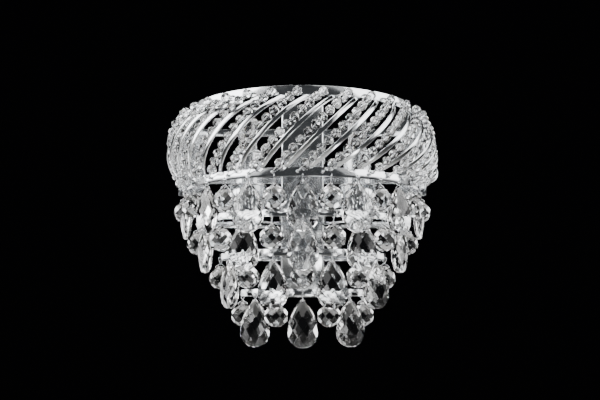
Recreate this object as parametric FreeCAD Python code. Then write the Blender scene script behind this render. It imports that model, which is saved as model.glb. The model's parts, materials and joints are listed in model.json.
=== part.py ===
import FreeCAD, Part
import math
import os

# Crystal wall sconce, in millimetres.
# X points right, Y points into the wall and Z points up. The wall is the plane Y = 0.
# The origin lies on the wall, half way between the two wall screws.
# Angles round the rings are in degrees from the front, positive towards +X.

os.makedirs("parts", exist_ok=True)
Vec = FreeCAD.Vector

# Rims and the space between them
RIM_RADIUS = 130.0
RIM_THICK = 1.5
RIM_BAND = 9.0
RIM_TOP_Z = 51.0
CAGE_HEIGHT = 88.5
RIM_FOOT = 14.0

# Swirl of flat ribs and bead strands
HALF_TURN_PITCHES = 17
TWIST_PITCHES = 3
SWIRL_PHASE = -2.25
RIB_BULGE = 20.0
RIB_WIDTH = 4.6
RIB_THICK = 1.2
STRAND_BULGE = 14.5
BEAD_DIAMETER = 10.0
BEAD_GAP = 0.1
BEAD_ROW_RISE = 0.36
BEADS_PER_BEND = 3
WIRE_SIZE = 0.9
KNOB_DIAMETER = 3.2
STRAND_GAP = 0.3
STRAND_TOP_DROP = 7.0
SHORTEST_SPAN = 0.35

# Tier rings under the lower rim, from the top one down
TIER_RADII = (116.0, 91.5, 69.0)
TIER_OVERLAPS = (12.4, 12.2, 9.6)
TIER_BAND = 7.0
TIER_THICK = 1.2

# Pendants of the lower rim and of the three tier rings
PENDANT_COUNTS = (15, 11, 9, 7)
PENDANT_ANGLES = (12.0, 15.0, 18.8, 22.9)
DROP_IN_MIDDLE = (True, True, False, True)
HOOK_HOLE_WIDTH = 1.6
HOOK_HOLE_HEIGHT = 2.2
HOOK_HOLE_EDGE = 1.2
HOOK_WIRE = 0.8
HOOK_SEAT = 0.5
HOOK_TOP_HALF = 2.4
STONE_HOLE = 1.6
STONE_HOLE_DEPTH = 2.8

# Pear drop
DROP_HEIGHT = 48.6
DROP_BELLY_RADIUS = 15.2
DROP_THICK = 12.0
DROP_TIP_HALF = 1.5
DROP_GIRDLE_TURNS = (-90.0, -56.0, -22.0, 12.0, 34.0, 90.0, 146.0, 168.0, 202.0, 236.0)
DROP_FACE_TURNS = (-90.0, -18.0, 54.0, 126.0, 198.0)
DROP_GIRDLE_TILT = 66.0
DROP_FACE_TILT = 36.0
DROP_TOP_GAP = 3.8
DROP_HOOK_HALF = 3.4

# Faceted ball with a pointed top
BALL_RADIUS = 11.5
BALL_TOP = 14.6
BALL_TOP_GAP = 5.7
BALL_HOOK_HALF = 5.2
BALL_FACETS = 8
BALL_FACET_LIFTS = (-46.0, 0.0, 44.0)

# Centre column, a tray that stands against the wall
COLUMN_WIDTH = 46.0
COLUMN_DEPTH = 25.0
COLUMN_RISE = 8.0
COLUMN_FOOT = 0.9
COLUMN_WALL = 1.2
COLUMN_EDGE_RADIUS = 2.0

# Back frame of uprights and crossbars
UPRIGHT_STAND_OUT = 7.5
UPRIGHT_WIDTH = 27.5
FRAME_THICK = 1.5
UPRIGHT_RISE = 7.0
FLANGE_DEPTH = 7.0
FLANGE_THICK = 1.2
CROSSBAR_HEIGHT = 8.0
TOP_CROSSBAR_DROP = 21.0
LOW_CROSSBAR_RISE = 13.5

# Wall bracket, its screws and the terminal block
BRACKET_SIDE_GAP = 2.8
BRACKET_LENGTH = 110.0
BRACKET_THICK = 2.0
WALL_SCREW_SPACING = 88.9
WALL_SCREW_HOLE_RADIUS = 2.4
CABLE_HOLE_RADIUS = 8.0
TAB_HEIGHT = 20.0
TAB_DEPTH = 18.0
SIDE_SCREW_Y = -12.0
SIDE_SCREW_RADIUS = 2.0
SIDE_SCREW_HEAD_RADIUS = 3.6
SIDE_SCREW_HEAD = 2.2
SIDE_SCREW_SPARE = 3.0
THREAD_CLEARANCE = 0.05
SIDE_HOLE_CLEARANCE = 0.2
TERMINAL_SIZE = (30.0, 13.0, 17.0)
TERMINAL_TOP_Z = -14.0
TERMINAL_POLES = 3
TERMINAL_HOLE = 4.4
WIRE_WAY_DEPTHS = (3.0, 7.0)
SCREW_WELL_FLOOR = 8.0

# Lamps
LAMP_X = 57.0
LAMP_Y = -60.0
CUP_RADIUS = 18.5
CUP_HEIGHT = 34.0
CUP_BOTTOM_Z = -71.0
CUP_WALL = 1.2
CUP_FOOT_RADIUS = 14.0
CUP_FOOT_RISE = 4.0
HOLDER_OVERHANG = 1.5
HOLDER_FLANGE = 1.5
HOLDER_RADIUS = 14.5
HOLDER_HEIGHT = 37.0
HOLDER_LIP = 1.0
HOLDER_LIP_HEIGHT = 2.5
SOCKET_DEPTH = 10.0
SOCKET_GAP = 1.2
PIN_WIDTH = 1.6
PIN_SPACING = 9.0
PIN_LENGTH = 7.0
PIN_GAP = 0.4
PIN_HOLE_SPARE = 2.0
PIN_ROOT = 1.0
BULB_RADIUS = 10.0
BULB_HEIGHT = 40.0
BULB_SHOULDER = 4.0
BULB_SEAT = 0.3
BASE_SUNK = 2.0
BULB_WALL = 1.0
ARM_WIDTH = 14.0
ARM_THICK = 2.0
ARM_TAB_HEIGHT = 14.0
ARM_ROOT_Y = -13.0
LEAD_HOLE_RADIUS = 3.5

LOWER_RIM_BOTTOM_Z = RIM_TOP_Z - CAGE_HEIGHT
LOWER_RIM_TOP_Z = LOWER_RIM_BOTTOM_Z + RIM_BAND
TOP_RIM_BOTTOM_Z = RIM_TOP_Z - RIM_BAND
SWIRL_PITCH = 180.0 / HALF_TURN_PITCHES
UPRIGHT_OUTER_X = RIM_RADIUS + UPRIGHT_STAND_OUT
REACH = 400.0


def save(name, solids):
    """Write one sub-part, a list of solids, to its own file."""
    shape = solids[0] if len(solids) == 1 else Part.makeCompound(solids)
    shape.exportStep("parts/" + name + ".step")


def block(low, high):
    """Box between two opposite corners."""
    size = Vec(*high) - Vec(*low)
    return Part.makeBox(size.x, size.y, size.z, Vec(*low))


def on_ring(radius, angle, z):
    """Point at a radius and angle round the rings' axis."""
    turn = math.radians(angle)
    return Vec(radius * math.sin(turn), -radius * math.cos(turn), z)


def turned(shape, angle):
    """Copy of a shape made at the front, turned round the rings' axis."""
    copy = shape.copy()
    copy.rotate(Vec(0, 0, 0), Vec(0, 0, 1), angle)
    return copy


def mirrored(shape):
    """Copy of a shape on the other side of the middle plane X = 0."""
    return shape.mirror(Vec(0, 0, 0), Vec(1, 0, 0))


def revolved(profile, centre_x=0.0, centre_y=0.0):
    """Solid turned about an upright axis from a closed outline of (radius, z) points."""
    points = [Vec(centre_x + radius, centre_y, z) for radius, z in profile]
    face = Part.Face(Part.makePolygon(points + points[:1]))
    return face.revolve(Vec(centre_x, centre_y, 0), Vec(0, 0, 1), 360)


# Rims and tier rings: a strip bent to a half circle, with its ends turned in along the back


def half_disc(radius, back_y, low_z, high_z):
    """Half disc in front of the plane Y = back_y."""
    disc = Part.makeCylinder(radius, high_z - low_z, Vec(0, 0, low_z))
    return disc.common(block((-radius, -radius, low_z), (radius, back_y, high_z)))


def bent_strip(radius, thick, band, bottom_z, back_y, end_x):
    """Strip round the front, whose back runs stop at X = -end_x and end_x."""
    top_z = bottom_z + band
    strip = half_disc(radius, back_y, bottom_z, top_z)
    strip = strip.cut(half_disc(radius - thick, back_y - thick, bottom_z, top_z))
    return strip.cut(block((-end_x, back_y - thick, bottom_z), (end_x, back_y, top_z)))


def pendant_places(tier):
    """Angles of a tier's pendants from left to right, each with True where a drop hangs."""
    count = PENDANT_COUNTS[tier]
    middle = count // 2
    places = []
    for index in range(count):
        step = index - middle
        is_drop = (step % 2 == 0) == DROP_IN_MIDDLE[tier]
        places.append((step * PENDANT_ANGLES[tier], is_drop))
    return places


def hook_holes(tier, radius, thick, bottom_z):
    """Cutters for the punched holes that the pendants' hooks pass through."""
    low = bottom_z + HOOK_HOLE_EDGE
    half = HOOK_HOLE_WIDTH / 2
    hole = block((-half, -radius - thick, low), (half, -radius + 2 * thick, low + HOOK_HOLE_HEIGHT))
    return [turned(hole, angle) for angle, _ in pendant_places(tier)]


def ring_bottoms():
    """Bottom edges of the lower rim and of the tier rings under it."""
    edges = [LOWER_RIM_BOTTOM_Z]
    for overlap in TIER_OVERLAPS:
        edges.append(edges[-1] - DROP_HEIGHT + overlap)
    return edges


RING_BOTTOMS = ring_bottoms()
RING_RADII = (RIM_RADIUS,) + TIER_RADII
RING_THICKS = (RIM_THICK,) + (TIER_THICK,) * len(TIER_RADII)


def make_rims():
    """The two rims; only the lower one carries pendants."""
    foot_x = RIM_RADIUS - RIM_FOOT
    for name, bottom_z in (("top_rim", TOP_RIM_BOTTOM_Z), ("lower_rim", LOWER_RIM_BOTTOM_Z)):
        rim = bent_strip(RIM_RADIUS, RIM_THICK, RIM_BAND, bottom_z, -FRAME_THICK, foot_x)
        if name == "lower_rim":
            rim = rim.cut(hook_holes(0, RIM_RADIUS, RIM_THICK, bottom_z))
        save(name, rim.Solids)


def make_tier_rings():
    """The three smaller rings, whose back runs end against the column's sides."""
    for tier in (1, 2, 3):
        radius = RING_RADII[tier]
        bottom_z = RING_BOTTOMS[tier]
        ring = bent_strip(radius, TIER_THICK, TIER_BAND, bottom_z, 0.0, COLUMN_WIDTH / 2)
        ring = ring.cut(hook_holes(tier, radius, TIER_THICK, bottom_z))
        save("tier_ring_" + str(tier + 1), ring.Solids)


# Swirl: each rib and strand is a flat arc that bulges outwards between the rims


class SwirlArc:
    """Circular arc from a foot to a head, bulging away from the rings' axis."""

    def __init__(self, foot, head, largest_radius):
        chord = head - foot
        middle = (foot + head) / 2
        self.along = chord / chord.Length
        outward = Vec(middle.x, middle.y, 0).normalize()
        outward = outward - self.along * outward.dot(self.along)
        self.outward = outward.normalize()
        rise = largest_radius - math.hypot(middle.x, middle.y)
        half = chord.Length / 2
        self.radius = (half * half + rise * rise) / (2 * rise)
        self.centre = middle + self.outward * (rise - self.radius)
        self.half_angle = math.asin(min(1.0, half / self.radius))
        if rise > self.radius:
            self.half_angle = math.pi - self.half_angle
        self.axis = self.outward.cross(self.along)

    def radial(self, angle):
        """Unit vector from the arc's centre at an angle from its middle."""
        return self.outward * math.cos(angle) + self.along * math.sin(angle)

    def point(self, angle):
        """Point of the arc at an angle from its middle."""
        return self.centre + self.radial(angle) * self.radius

    def tangent(self, angle):
        """Direction towards the head at an angle from the arc's middle."""
        return self.along * math.cos(angle) - self.outward * math.sin(angle)


def wall_end(side, z):
    """Place on the outer face of an upright's flange where a cut-short rib or strand ends."""
    return Vec(side * UPRIGHT_OUTER_X, -FLANGE_DEPTH / 2, z)


def at_wall(end):
    """True for the end of a rib or strand that stands on a flange."""
    return abs(end.x) == UPRIGHT_OUTER_X


def outside_flanges(low_z, high_z):
    """Space past the flanges, where the cut-short ribs and strands stay."""
    right = block((UPRIGHT_OUTER_X, -REACH, low_z), (REACH, 0, high_z))
    front = block((-REACH, -REACH, low_z), (REACH, -FLANGE_DEPTH, high_z))
    return front.fuse([right, mirrored(right)])


def swirl_ends(first_angle, foot_radius, foot_z, head_radius, head_z):
    """Foot and head of every rib or strand, those cut short by the wall included."""
    twist = TWIST_PITCHES * SWIRL_PITCH
    ends = []
    for index in range(-HALF_TURN_PITCHES, HALF_TURN_PITCHES):
        low = first_angle + index * SWIRL_PITCH
        high = low + twist
        foot = on_ring(foot_radius, low, foot_z)
        head = on_ring(head_radius, high, head_z)
        if -90.0 < low and high < 90.0:
            ends.append((foot, head))
        elif low < -90.0 and (high + 90.0) / twist > SHORTEST_SPAN:
            share = (-90.0 - low) / twist
            ends.append((wall_end(-1, foot_z + share * (head_z - foot_z)), head))
        elif high > 90.0 and (90.0 - low) / twist > SHORTEST_SPAN:
            share = (90.0 - low) / twist
            ends.append((foot, wall_end(1, foot_z + share * (head_z - foot_z))))
    return ends


def make_ribs():
    """Flat chrome ribs, trimmed where they meet the rims' edges and the uprights."""
    weld_radius = RIM_RADIUS - RIM_THICK / 2
    ends = swirl_ends(SWIRL_PHASE + SWIRL_PITCH / 2, weld_radius, LOWER_RIM_TOP_Z,
                      weld_radius, TOP_RIM_BOTTOM_Z)
    between_rims = block((-REACH, -REACH, LOWER_RIM_TOP_Z), (REACH, -FRAME_THICK, TOP_RIM_BOTTOM_Z))
    past_flanges = outside_flanges(LOWER_RIM_TOP_Z, TOP_RIM_BOTTOM_Z)
    overrun = math.radians(4.0)
    ribs = []
    for foot, head in ends:
        arc = SwirlArc(foot, head, RIM_RADIUS + RIB_BULGE)
        start = -arc.half_angle - overrun
        inner = arc.centre + arc.radial(start) * (arc.radius - RIB_THICK)
        outer = arc.centre + arc.radial(start) * arc.radius
        side = arc.axis * (RIB_WIDTH / 2)
        corners = [inner - side, outer - side, outer + side, inner + side]
        face = Part.Face(Part.makePolygon(corners + corners[:1]))
        turn = math.degrees(2 * (arc.half_angle + overrun))
        room = past_flanges if at_wall(foot) or at_wall(head) else between_rims
        rib = face.revolve(arc.centre, arc.axis, turn).common(room)
        ribs.append(max(rib.Solids, key=lambda solid: solid.Volume))
    save("cage_ribs", ribs)


def facet_bead(diameter):
    """Bead with sixteen triangular facets, its threading axis along Z."""
    radius = diameter / 2
    row_z = radius * BEAD_ROW_RISE
    row_radius = math.sqrt(radius * radius - row_z * row_z)
    rows = []
    for z, shift in ((row_z, 0.0), (-row_z, 45.0)):
        turns = [math.radians(90.0 * corner + shift) for corner in range(4)]
        rows.append([Vec(row_radius * math.cos(t), row_radius * math.sin(t), z) for t in turns])
    top, bottom = Vec(0, 0, radius), Vec(0, 0, -radius)
    triangles = []
    for corner in range(4):
        after = (corner + 1) % 4
        triangles.append((top, rows[0][corner], rows[0][after]))
        triangles.append((rows[0][corner], rows[1][corner], rows[0][after]))
        triangles.append((rows[1][corner], rows[1][after], rows[0][after]))
        triangles.append((bottom, rows[1][after], rows[1][corner]))
    faces = [Part.Face(Part.makePolygon([a, b, c, a])) for a, b, c in triangles]
    return Part.makeSolid(Part.makeShell(faces))


def laid_along(shape, direction, place):
    """Copy of a shape with its Z axis along a direction, moved to a place."""
    copy = shape.copy()
    copy.Placement = FreeCAD.Placement(place, FreeCAD.Rotation(Vec(0, 0, 1), direction))
    return copy


def square_wire(points):
    """Bent wire of square section through a list of points."""
    path = Part.makePolygon(points)
    direction = (points[1] - points[0]).normalize()
    half = WIRE_SIZE / 2
    corners = [Vec(-half, -half, 0), Vec(half, -half, 0), Vec(half, half, 0), Vec(-half, half, 0)]
    section = laid_along(Part.makePolygon(corners + corners[:1]), direction, points[0])
    return path.makePipeShell([section], True, False, 1)


def strand_room(point):
    """True where a bead at this point clears the rims, the flanges and the wall."""
    stand_off = BEAD_DIAMETER / 2 + 0.9 * STRAND_GAP
    past_rims = math.hypot(point.x, point.y) > RIM_RADIUS + stand_off
    past_flanges = abs(point.x) > UPRIGHT_OUTER_X + stand_off or point.y < -FLANGE_DEPTH - stand_off
    return past_rims and past_flanges and point.y < -stand_off


def bead_angles(arc):
    """Angles along a strand's arc at which its beads sit, from the head down."""
    step = (BEAD_DIAMETER + BEAD_GAP) / arc.radius
    angle = arc.half_angle
    while not strand_room(arc.point(angle)):
        angle -= step / 20
    angles = []
    while angle > -arc.half_angle and strand_room(arc.point(angle)):
        angles.append(angle)
        angle -= step
    return angles


def make_strands():
    """Bead strands: a stiff wire between the rims' faces, threaded with beads."""
    bead = facet_bead(BEAD_DIAMETER)
    ends = swirl_ends(SWIRL_PHASE, RIM_RADIUS + KNOB_DIAMETER / 2, LOWER_RIM_BOTTOM_Z + RIM_BAND / 2,
                      RIM_RADIUS + BEAD_DIAMETER / 2 + STRAND_GAP, RIM_TOP_Z - STRAND_TOP_DROP)
    wires = []
    beads = []
    for foot, head in ends:
        arc = SwirlArc(foot, head, RIM_RADIUS + STRAND_BULGE)
        angles = bead_angles(arc)
        for angle in angles:
            beads.append(laid_along(bead, arc.tangent(angle), arc.point(angle)))
        bends = [arc.point(angle) for angle in angles[::BEADS_PER_BEND]]
        wires.append(strand_wire(foot, head, bends))
    save("strand_wires", wires)
    save("beads", beads)


def seat(end):
    """Seat of a strand's end on a rim's or a flange's outer face, and the way out of it."""
    if at_wall(end):
        return end, Vec(math.copysign(1, end.x), 0, 0)
    outward = Vec(end.x, end.y, 0).normalize()
    return outward * RIM_RADIUS + Vec(0, 0, end.z), outward


def strand_wire(foot, head, bends):
    """One strand's wire, with the knob on its lower end."""
    head_seat, _ = seat(head)
    foot_seat, foot_out = seat(foot)
    knob_middle = foot_seat + foot_out * (KNOB_DIAMETER / 2)
    wire = square_wire([head_seat] + bends + [knob_middle])
    if at_wall(foot) or at_wall(head):
        wire = wire.common(outside_flanges(-REACH, REACH))
    knob = laid_along(facet_bead(KNOB_DIAMETER), foot_out, knob_middle)
    return max(wire.fuse(knob).Solids, key=lambda solid: solid.Volume)


# Cut stones: each facet is ground off by a plane at a direction and a distance


def ground(stone, facets):
    """Stone with everything beyond each (normal, distance) plane removed."""
    for normal, distance in facets:
        waste = Part.makeBox(REACH, REACH, REACH, Vec(-REACH / 2, -REACH / 2, 0))
        stone = stone.cut(laid_along(waste, normal, normal * distance))
    return stone


def pear_support(turn):
    """Distance from the belly's centre to the outline's tangent; each flank is an arc up to the tip."""
    if math.sin(turn) <= 0.0:
        return DROP_BELLY_RADIUS
    tip_z = DROP_HEIGHT - DROP_BELLY_RADIUS
    spread = DROP_BELLY_RADIUS - DROP_TIP_HALF
    offset = (tip_z ** 2 + DROP_TIP_HALF ** 2 - DROP_BELLY_RADIUS ** 2) / (2 * spread)
    flank_radius = DROP_BELLY_RADIUS + offset
    sideways = abs(math.cos(turn))
    if sideways > (DROP_TIP_HALF + offset) / flank_radius:
        return flank_radius - offset * sideways
    return tip_z * math.sin(turn) + DROP_TIP_HALF * sideways


def facet_row(turns, tilt, half_thick):
    """Facets of one row on both faces of a drop, tilted from the face's normal."""
    facets = []
    lean = math.radians(tilt)
    for degrees in turns:
        turn = math.radians(degrees)
        distance = math.hypot(pear_support(turn) * math.sin(lean), half_thick * math.cos(lean))
        for face in (-1, 1):
            normal = Vec(math.sin(lean) * math.cos(turn), face * math.cos(lean),
                         math.sin(lean) * math.sin(turn))
            facets.append((normal, distance))
    return facets


def hook_link(bottom_half, drop):
    """Closed bow hook in the plane X = 0; its upper wire's middle is at the origin."""
    wire = HOOK_WIRE
    slant = [(HOOK_TOP_HALF, wire / 2), (bottom_half, -drop - wire / 2)]
    inner = [(HOOK_TOP_HALF - wire, -wire / 2), (bottom_half - wire, -drop + wire / 2)]
    faces = []
    for points in (slant, inner):
        outline = points + [(-y, z) for y, z in reversed(points)]
        corners = [Vec(-wire / 2, y, z) for y, z in outline]
        faces.append(Part.Face(Part.makePolygon(corners + corners[:1])))
    return faces[0].cut(faces[1]).extrude(Vec(wire, 0, 0))


def stone_hole(centre_z):
    """Cutter for the hook's hole through a stone's tip."""
    half = STONE_HOLE / 2
    return block((-half, -REACH, centre_z - half), (half, REACH, centre_z + half))


def make_drop():
    """Pear drop on its hook, hanging from the origin."""
    belly_z = DROP_HEIGHT - DROP_BELLY_RADIUS
    half_thick = DROP_THICK / 2
    facets = [(Vec(0, face, 0), half_thick) for face in (-1, 1)]
    facets += facet_row(DROP_GIRDLE_TURNS, DROP_GIRDLE_TILT, half_thick)
    facets += facet_row(DROP_FACE_TURNS, DROP_FACE_TILT, half_thick)
    rough = block((-REACH / 4,) * 3, (REACH / 4,) * 3)
    stone = ground(rough, facets)
    hole_below = HOOK_SEAT + HOOK_WIRE / 2 + HOOK_HOLE_EDGE + DROP_TOP_GAP + STONE_HOLE_DEPTH
    stone = stone.cut(stone_hole(belly_z - STONE_HOLE_DEPTH))
    stone.translate(Vec(0, 0, -hole_below - belly_z + STONE_HOLE_DEPTH))
    return [stone.Solids[0], hook_link(DROP_HOOK_HALF, hole_below).Solids[0]]


def make_ball():
    """Faceted ball with a pointed top on its hook, hanging from the origin."""
    facets = [(Vec(0, 0, -1), BALL_RADIUS * 0.97), (Vec(0, 0, 1), BALL_TOP)]
    for lift in BALL_FACET_LIFTS:
        rise = math.radians(lift)
        for index in range(BALL_FACETS):
            turn = math.radians(index * 360.0 / BALL_FACETS)
            normal = Vec(math.cos(rise) * math.cos(turn), math.cos(rise) * math.sin(turn),
                         math.sin(rise))
            facets.append((normal, BALL_RADIUS))
    rough = block((-REACH / 4,) * 3, (REACH / 4,) * 3)
    stone = ground(rough, facets)
    hole_below = HOOK_SEAT + HOOK_WIRE / 2 + HOOK_HOLE_EDGE + BALL_TOP_GAP + STONE_HOLE_DEPTH
    stone = stone.cut(stone_hole(BALL_TOP - STONE_HOLE_DEPTH))
    stone.translate(Vec(0, 0, -hole_below - BALL_TOP + STONE_HOLE_DEPTH))
    return [stone.Solids[0], hook_link(BALL_HOOK_HALF, hole_below).Solids[0]]


def make_pendants():
    """Every pendant, numbered from left to right in its tier."""
    kinds = {True: ("drop", make_drop()), False: ("ball", make_ball())}
    pivot_rise = HOOK_HOLE_EDGE + HOOK_SEAT + HOOK_WIRE / 2
    for tier in range(len(PENDANT_COUNTS)):
        pivot_radius = RING_RADII[tier] - RING_THICKS[tier] / 2
        pivot = Vec(0, -pivot_radius, RING_BOTTOMS[tier] + pivot_rise)
        for number, (angle, is_drop) in enumerate(pendant_places(tier), start=1):
            kind, solids = kinds[is_drop]
            placed = []
            for solid in solids:
                hung = solid.copy()
                hung.translate(pivot)
                placed.append(turned(hung, angle))
            save("tier_%d_%s_%02d" % (tier + 1, kind, number), placed)


# Back frame, column and what is inside it


def make_back_frame():
    """Two uprights with crossbars that end against the column's sides."""
    inner_x = UPRIGHT_OUTER_X - UPRIGHT_WIDTH
    top_z = RIM_TOP_Z + UPRIGHT_RISE
    side = block((inner_x, -FRAME_THICK, LOWER_RIM_BOTTOM_Z), (UPRIGHT_OUTER_X, 0, top_z))
    for low in (RIM_TOP_Z - TOP_CROSSBAR_DROP, LOWER_RIM_BOTTOM_Z + LOW_CROSSBAR_RISE):
        bar = block((COLUMN_WIDTH / 2, -FRAME_THICK, low), (inner_x, 0, low + CROSSBAR_HEIGHT))
        side = side.fuse(bar)
    flange = block((UPRIGHT_OUTER_X - FLANGE_THICK, -FLANGE_DEPTH, LOWER_RIM_BOTTOM_Z),
                   (UPRIGHT_OUTER_X, -FRAME_THICK, top_z))
    side = side.fuse(flange).removeSplitter()
    save("back_frame", [side.Solids[0], mirrored(side).Solids[0]])


def side_cylinder(radius, y, z):
    """Cylinder along X, right across the column and past its sides."""
    return Part.makeCylinder(radius, 2 * COLUMN_WIDTH, Vec(-COLUMN_WIDTH, y, z), Vec(1, 0, 0))


def lead_hole_z():
    """Height of the holes that the lamps' leads pass through."""
    return CUP_BOTTOM_Z + ARM_TAB_HEIGHT / 2 - ARM_THICK


def make_column():
    """Tray-shaped column with rounded front edges, open towards the wall."""
    half = COLUMN_WIDTH / 2
    top_z = RIM_TOP_Z + COLUMN_RISE
    bottom_z = RING_BOTTOMS[-1] - COLUMN_FOOT
    tray = block((-half, -COLUMN_DEPTH, bottom_z), (half, 0, top_z))
    front = [edge for edge in tray.Edges
             if edge.BoundBox.YMax < -COLUMN_DEPTH + 0.01 and edge.BoundBox.ZLength > 1.0]
    tray = tray.makeFillet(COLUMN_EDGE_RADIUS, front)
    wall = COLUMN_WALL
    inside = block((-half + wall, -COLUMN_DEPTH + wall, bottom_z + wall), (half - wall, 0, top_z - wall))
    tray = tray.cut(inside)
    tray = tray.cut(side_cylinder(SIDE_SCREW_RADIUS + SIDE_HOLE_CLEARANCE, SIDE_SCREW_Y, 0.0))
    tray = tray.cut(side_cylinder(LEAD_HOLE_RADIUS, ARM_ROOT_Y, lead_hole_z()))
    save("centre_column", tray.Solids)


def make_bracket():
    """Strap on the wall, with two tabs that the side screws hold the column by."""
    tab_x = COLUMN_WIDTH / 2 - COLUMN_WALL
    half_width = tab_x - BRACKET_SIDE_GAP
    half_length = BRACKET_LENGTH / 2
    strap = block((-half_width, -BRACKET_THICK, -half_length), (half_width, 0, half_length))
    tab_low = -TAB_HEIGHT / 2
    bridge = block((-tab_x, -BRACKET_THICK, tab_low), (tab_x, 0, -tab_low))
    tab = block((tab_x - BRACKET_THICK, -TAB_DEPTH, tab_low), (tab_x, 0, -tab_low))
    strap = strap.fuse([bridge, tab, mirrored(tab)]).removeSplitter()
    for z in (-WALL_SCREW_SPACING / 2, WALL_SCREW_SPACING / 2):
        strap = strap.cut(Part.makeCylinder(WALL_SCREW_HOLE_RADIUS, 10, Vec(0, -5, z), Vec(0, 1, 0)))
    strap = strap.cut(Part.makeCylinder(CABLE_HOLE_RADIUS, 10, Vec(0, -5, 0), Vec(0, 1, 0)))
    thread = side_cylinder(SIDE_SCREW_RADIUS + THREAD_CLEARANCE, SIDE_SCREW_Y, 0.0)
    save("wall_bracket", strap.cut(thread).Solids)


def make_side_screws():
    """Screws through the column's sides into the bracket's tabs."""
    face_x = COLUMN_WIDTH / 2
    shank = Part.makeCylinder(SIDE_SCREW_RADIUS, COLUMN_WALL + BRACKET_THICK + SIDE_SCREW_SPARE,
                              Vec(face_x, SIDE_SCREW_Y, 0), Vec(-1, 0, 0))
    head = Part.makeCylinder(SIDE_SCREW_HEAD_RADIUS, SIDE_SCREW_HEAD,
                             Vec(face_x, SIDE_SCREW_Y, 0), Vec(1, 0, 0))
    screw = head.fuse(shank).Solids[0]
    save("side_screws", [screw, mirrored(screw).Solids[0]])


def make_terminal_block():
    """Screw terminal block on the strap, with a wire way and a screw well for each pole."""
    width, depth, height = TERMINAL_SIZE
    back_y = -BRACKET_THICK
    low_z = TERMINAL_TOP_Z - height
    body = block((-width / 2, back_y - depth, low_z), (width / 2, back_y, TERMINAL_TOP_Z))
    pole = width / TERMINAL_POLES
    half = TERMINAL_HOLE / 2
    way_back, way_front = WIRE_WAY_DEPTHS
    well_z = low_z + height / 2
    for index in range(TERMINAL_POLES):
        x = (index - (TERMINAL_POLES - 1) / 2) * pole
        wire_way = block((x - half, back_y - way_front, low_z), (x + half, back_y - way_back, TERMINAL_TOP_Z))
        well = block((x - half, back_y - depth, well_z - half),
                     (x + half, back_y - SCREW_WELL_FLOOR, well_z + half))
        body = body.cut([wire_way, well])
    save("terminal_block", body.Solids)


# Lamps


def make_arms():
    """Flat arms from the column's sides, out to the cups that stand on them."""
    side_x = COLUMN_WIDTH / 2
    top_z = CUP_BOTTOM_Z
    low_z = top_z - ARM_THICK
    root = Vec(side_x, ARM_ROOT_Y, low_z)
    end = Vec(LAMP_X, LAMP_Y, low_z)
    run = (end - root).normalize()
    half = Vec(-run.y, run.x, 0) * (ARM_WIDTH / 2)
    start = root - run * ARM_WIDTH
    corners = [start - half, end - half, end + half, start + half]
    plate = Part.Face(Part.makePolygon(corners + corners[:1])).extrude(Vec(0, 0, ARM_THICK))
    pad = Part.makeCylinder(ARM_WIDTH / 2, ARM_THICK, end)
    tab_back_y = ARM_ROOT_Y + ARM_WIDTH / 2
    tab = block((side_x, ARM_ROOT_Y - ARM_WIDTH / 2, low_z),
                (side_x + ARM_THICK, tab_back_y, low_z + ARM_TAB_HEIGHT))
    room = block((side_x, -REACH, low_z), (REACH, tab_back_y, low_z + ARM_TAB_HEIGHT))
    arm = plate.fuse([pad, tab]).common(room).removeSplitter()
    arm = arm.cut(side_cylinder(LEAD_HOLE_RADIUS, ARM_ROOT_Y, lead_hole_z()))
    save("lamp_arms", [arm.Solids[0], mirrored(arm).Solids[0]])


def make_cups():
    """Chrome cups with a stepped foot, open at the top."""
    top_z = CUP_BOTTOM_Z + CUP_HEIGHT
    inner = CUP_RADIUS - CUP_WALL
    profile = [(0, CUP_BOTTOM_Z), (CUP_FOOT_RADIUS, CUP_BOTTOM_Z),
               (CUP_RADIUS, CUP_BOTTOM_Z + CUP_FOOT_RISE), (CUP_RADIUS, top_z),
               (inner, top_z), (inner, CUP_BOTTOM_Z + CUP_FOOT_RISE), (0, CUP_BOTTOM_Z + CUP_FOOT_RISE)]
    save("lamp_cups", [revolved(profile, side * LAMP_X, LAMP_Y) for side in (-1, 1)])


def pins(centre_x, width, low_z, high_z):
    """Pair of square pins, or of the holes for them, side by side under a bulb."""
    pair = []
    for side in (-1, 1):
        x = centre_x + side * PIN_SPACING / 2
        pair.append(block((x - width / 2, LAMP_Y - width / 2, low_z),
                          (x + width / 2, LAMP_Y + width / 2, high_z)))
    return pair


def make_holders():
    """Lampholders: a flange on the cup, a sleeve and the socket for the bulb."""
    low_z = CUP_BOTTOM_Z + CUP_HEIGHT
    top_z = low_z + HOLDER_HEIGHT
    socket_radius = BULB_RADIUS + SOCKET_GAP
    lip_z = top_z - HOLDER_LIP_HEIGHT
    floor_z = top_z - SOCKET_DEPTH
    flange_radius = CUP_RADIUS + HOLDER_OVERHANG
    profile = [(0, low_z), (flange_radius, low_z),
               (flange_radius, low_z + HOLDER_FLANGE), (HOLDER_RADIUS, low_z + HOLDER_FLANGE),
               (HOLDER_RADIUS, lip_z), (HOLDER_RADIUS + HOLDER_LIP, lip_z),
               (HOLDER_RADIUS + HOLDER_LIP, top_z), (socket_radius, top_z),
               (socket_radius, floor_z), (0, floor_z)]
    holders = []
    for side in (-1, 1):
        holder = revolved(profile, side * LAMP_X, LAMP_Y)
        hole_width = PIN_WIDTH + 2 * PIN_GAP
        hole_low = floor_z - PIN_LENGTH - PIN_HOLE_SPARE
        holders += holder.cut(pins(side * LAMP_X, hole_width, hole_low, floor_z)).Solids
    save("lampholders", holders)


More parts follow.
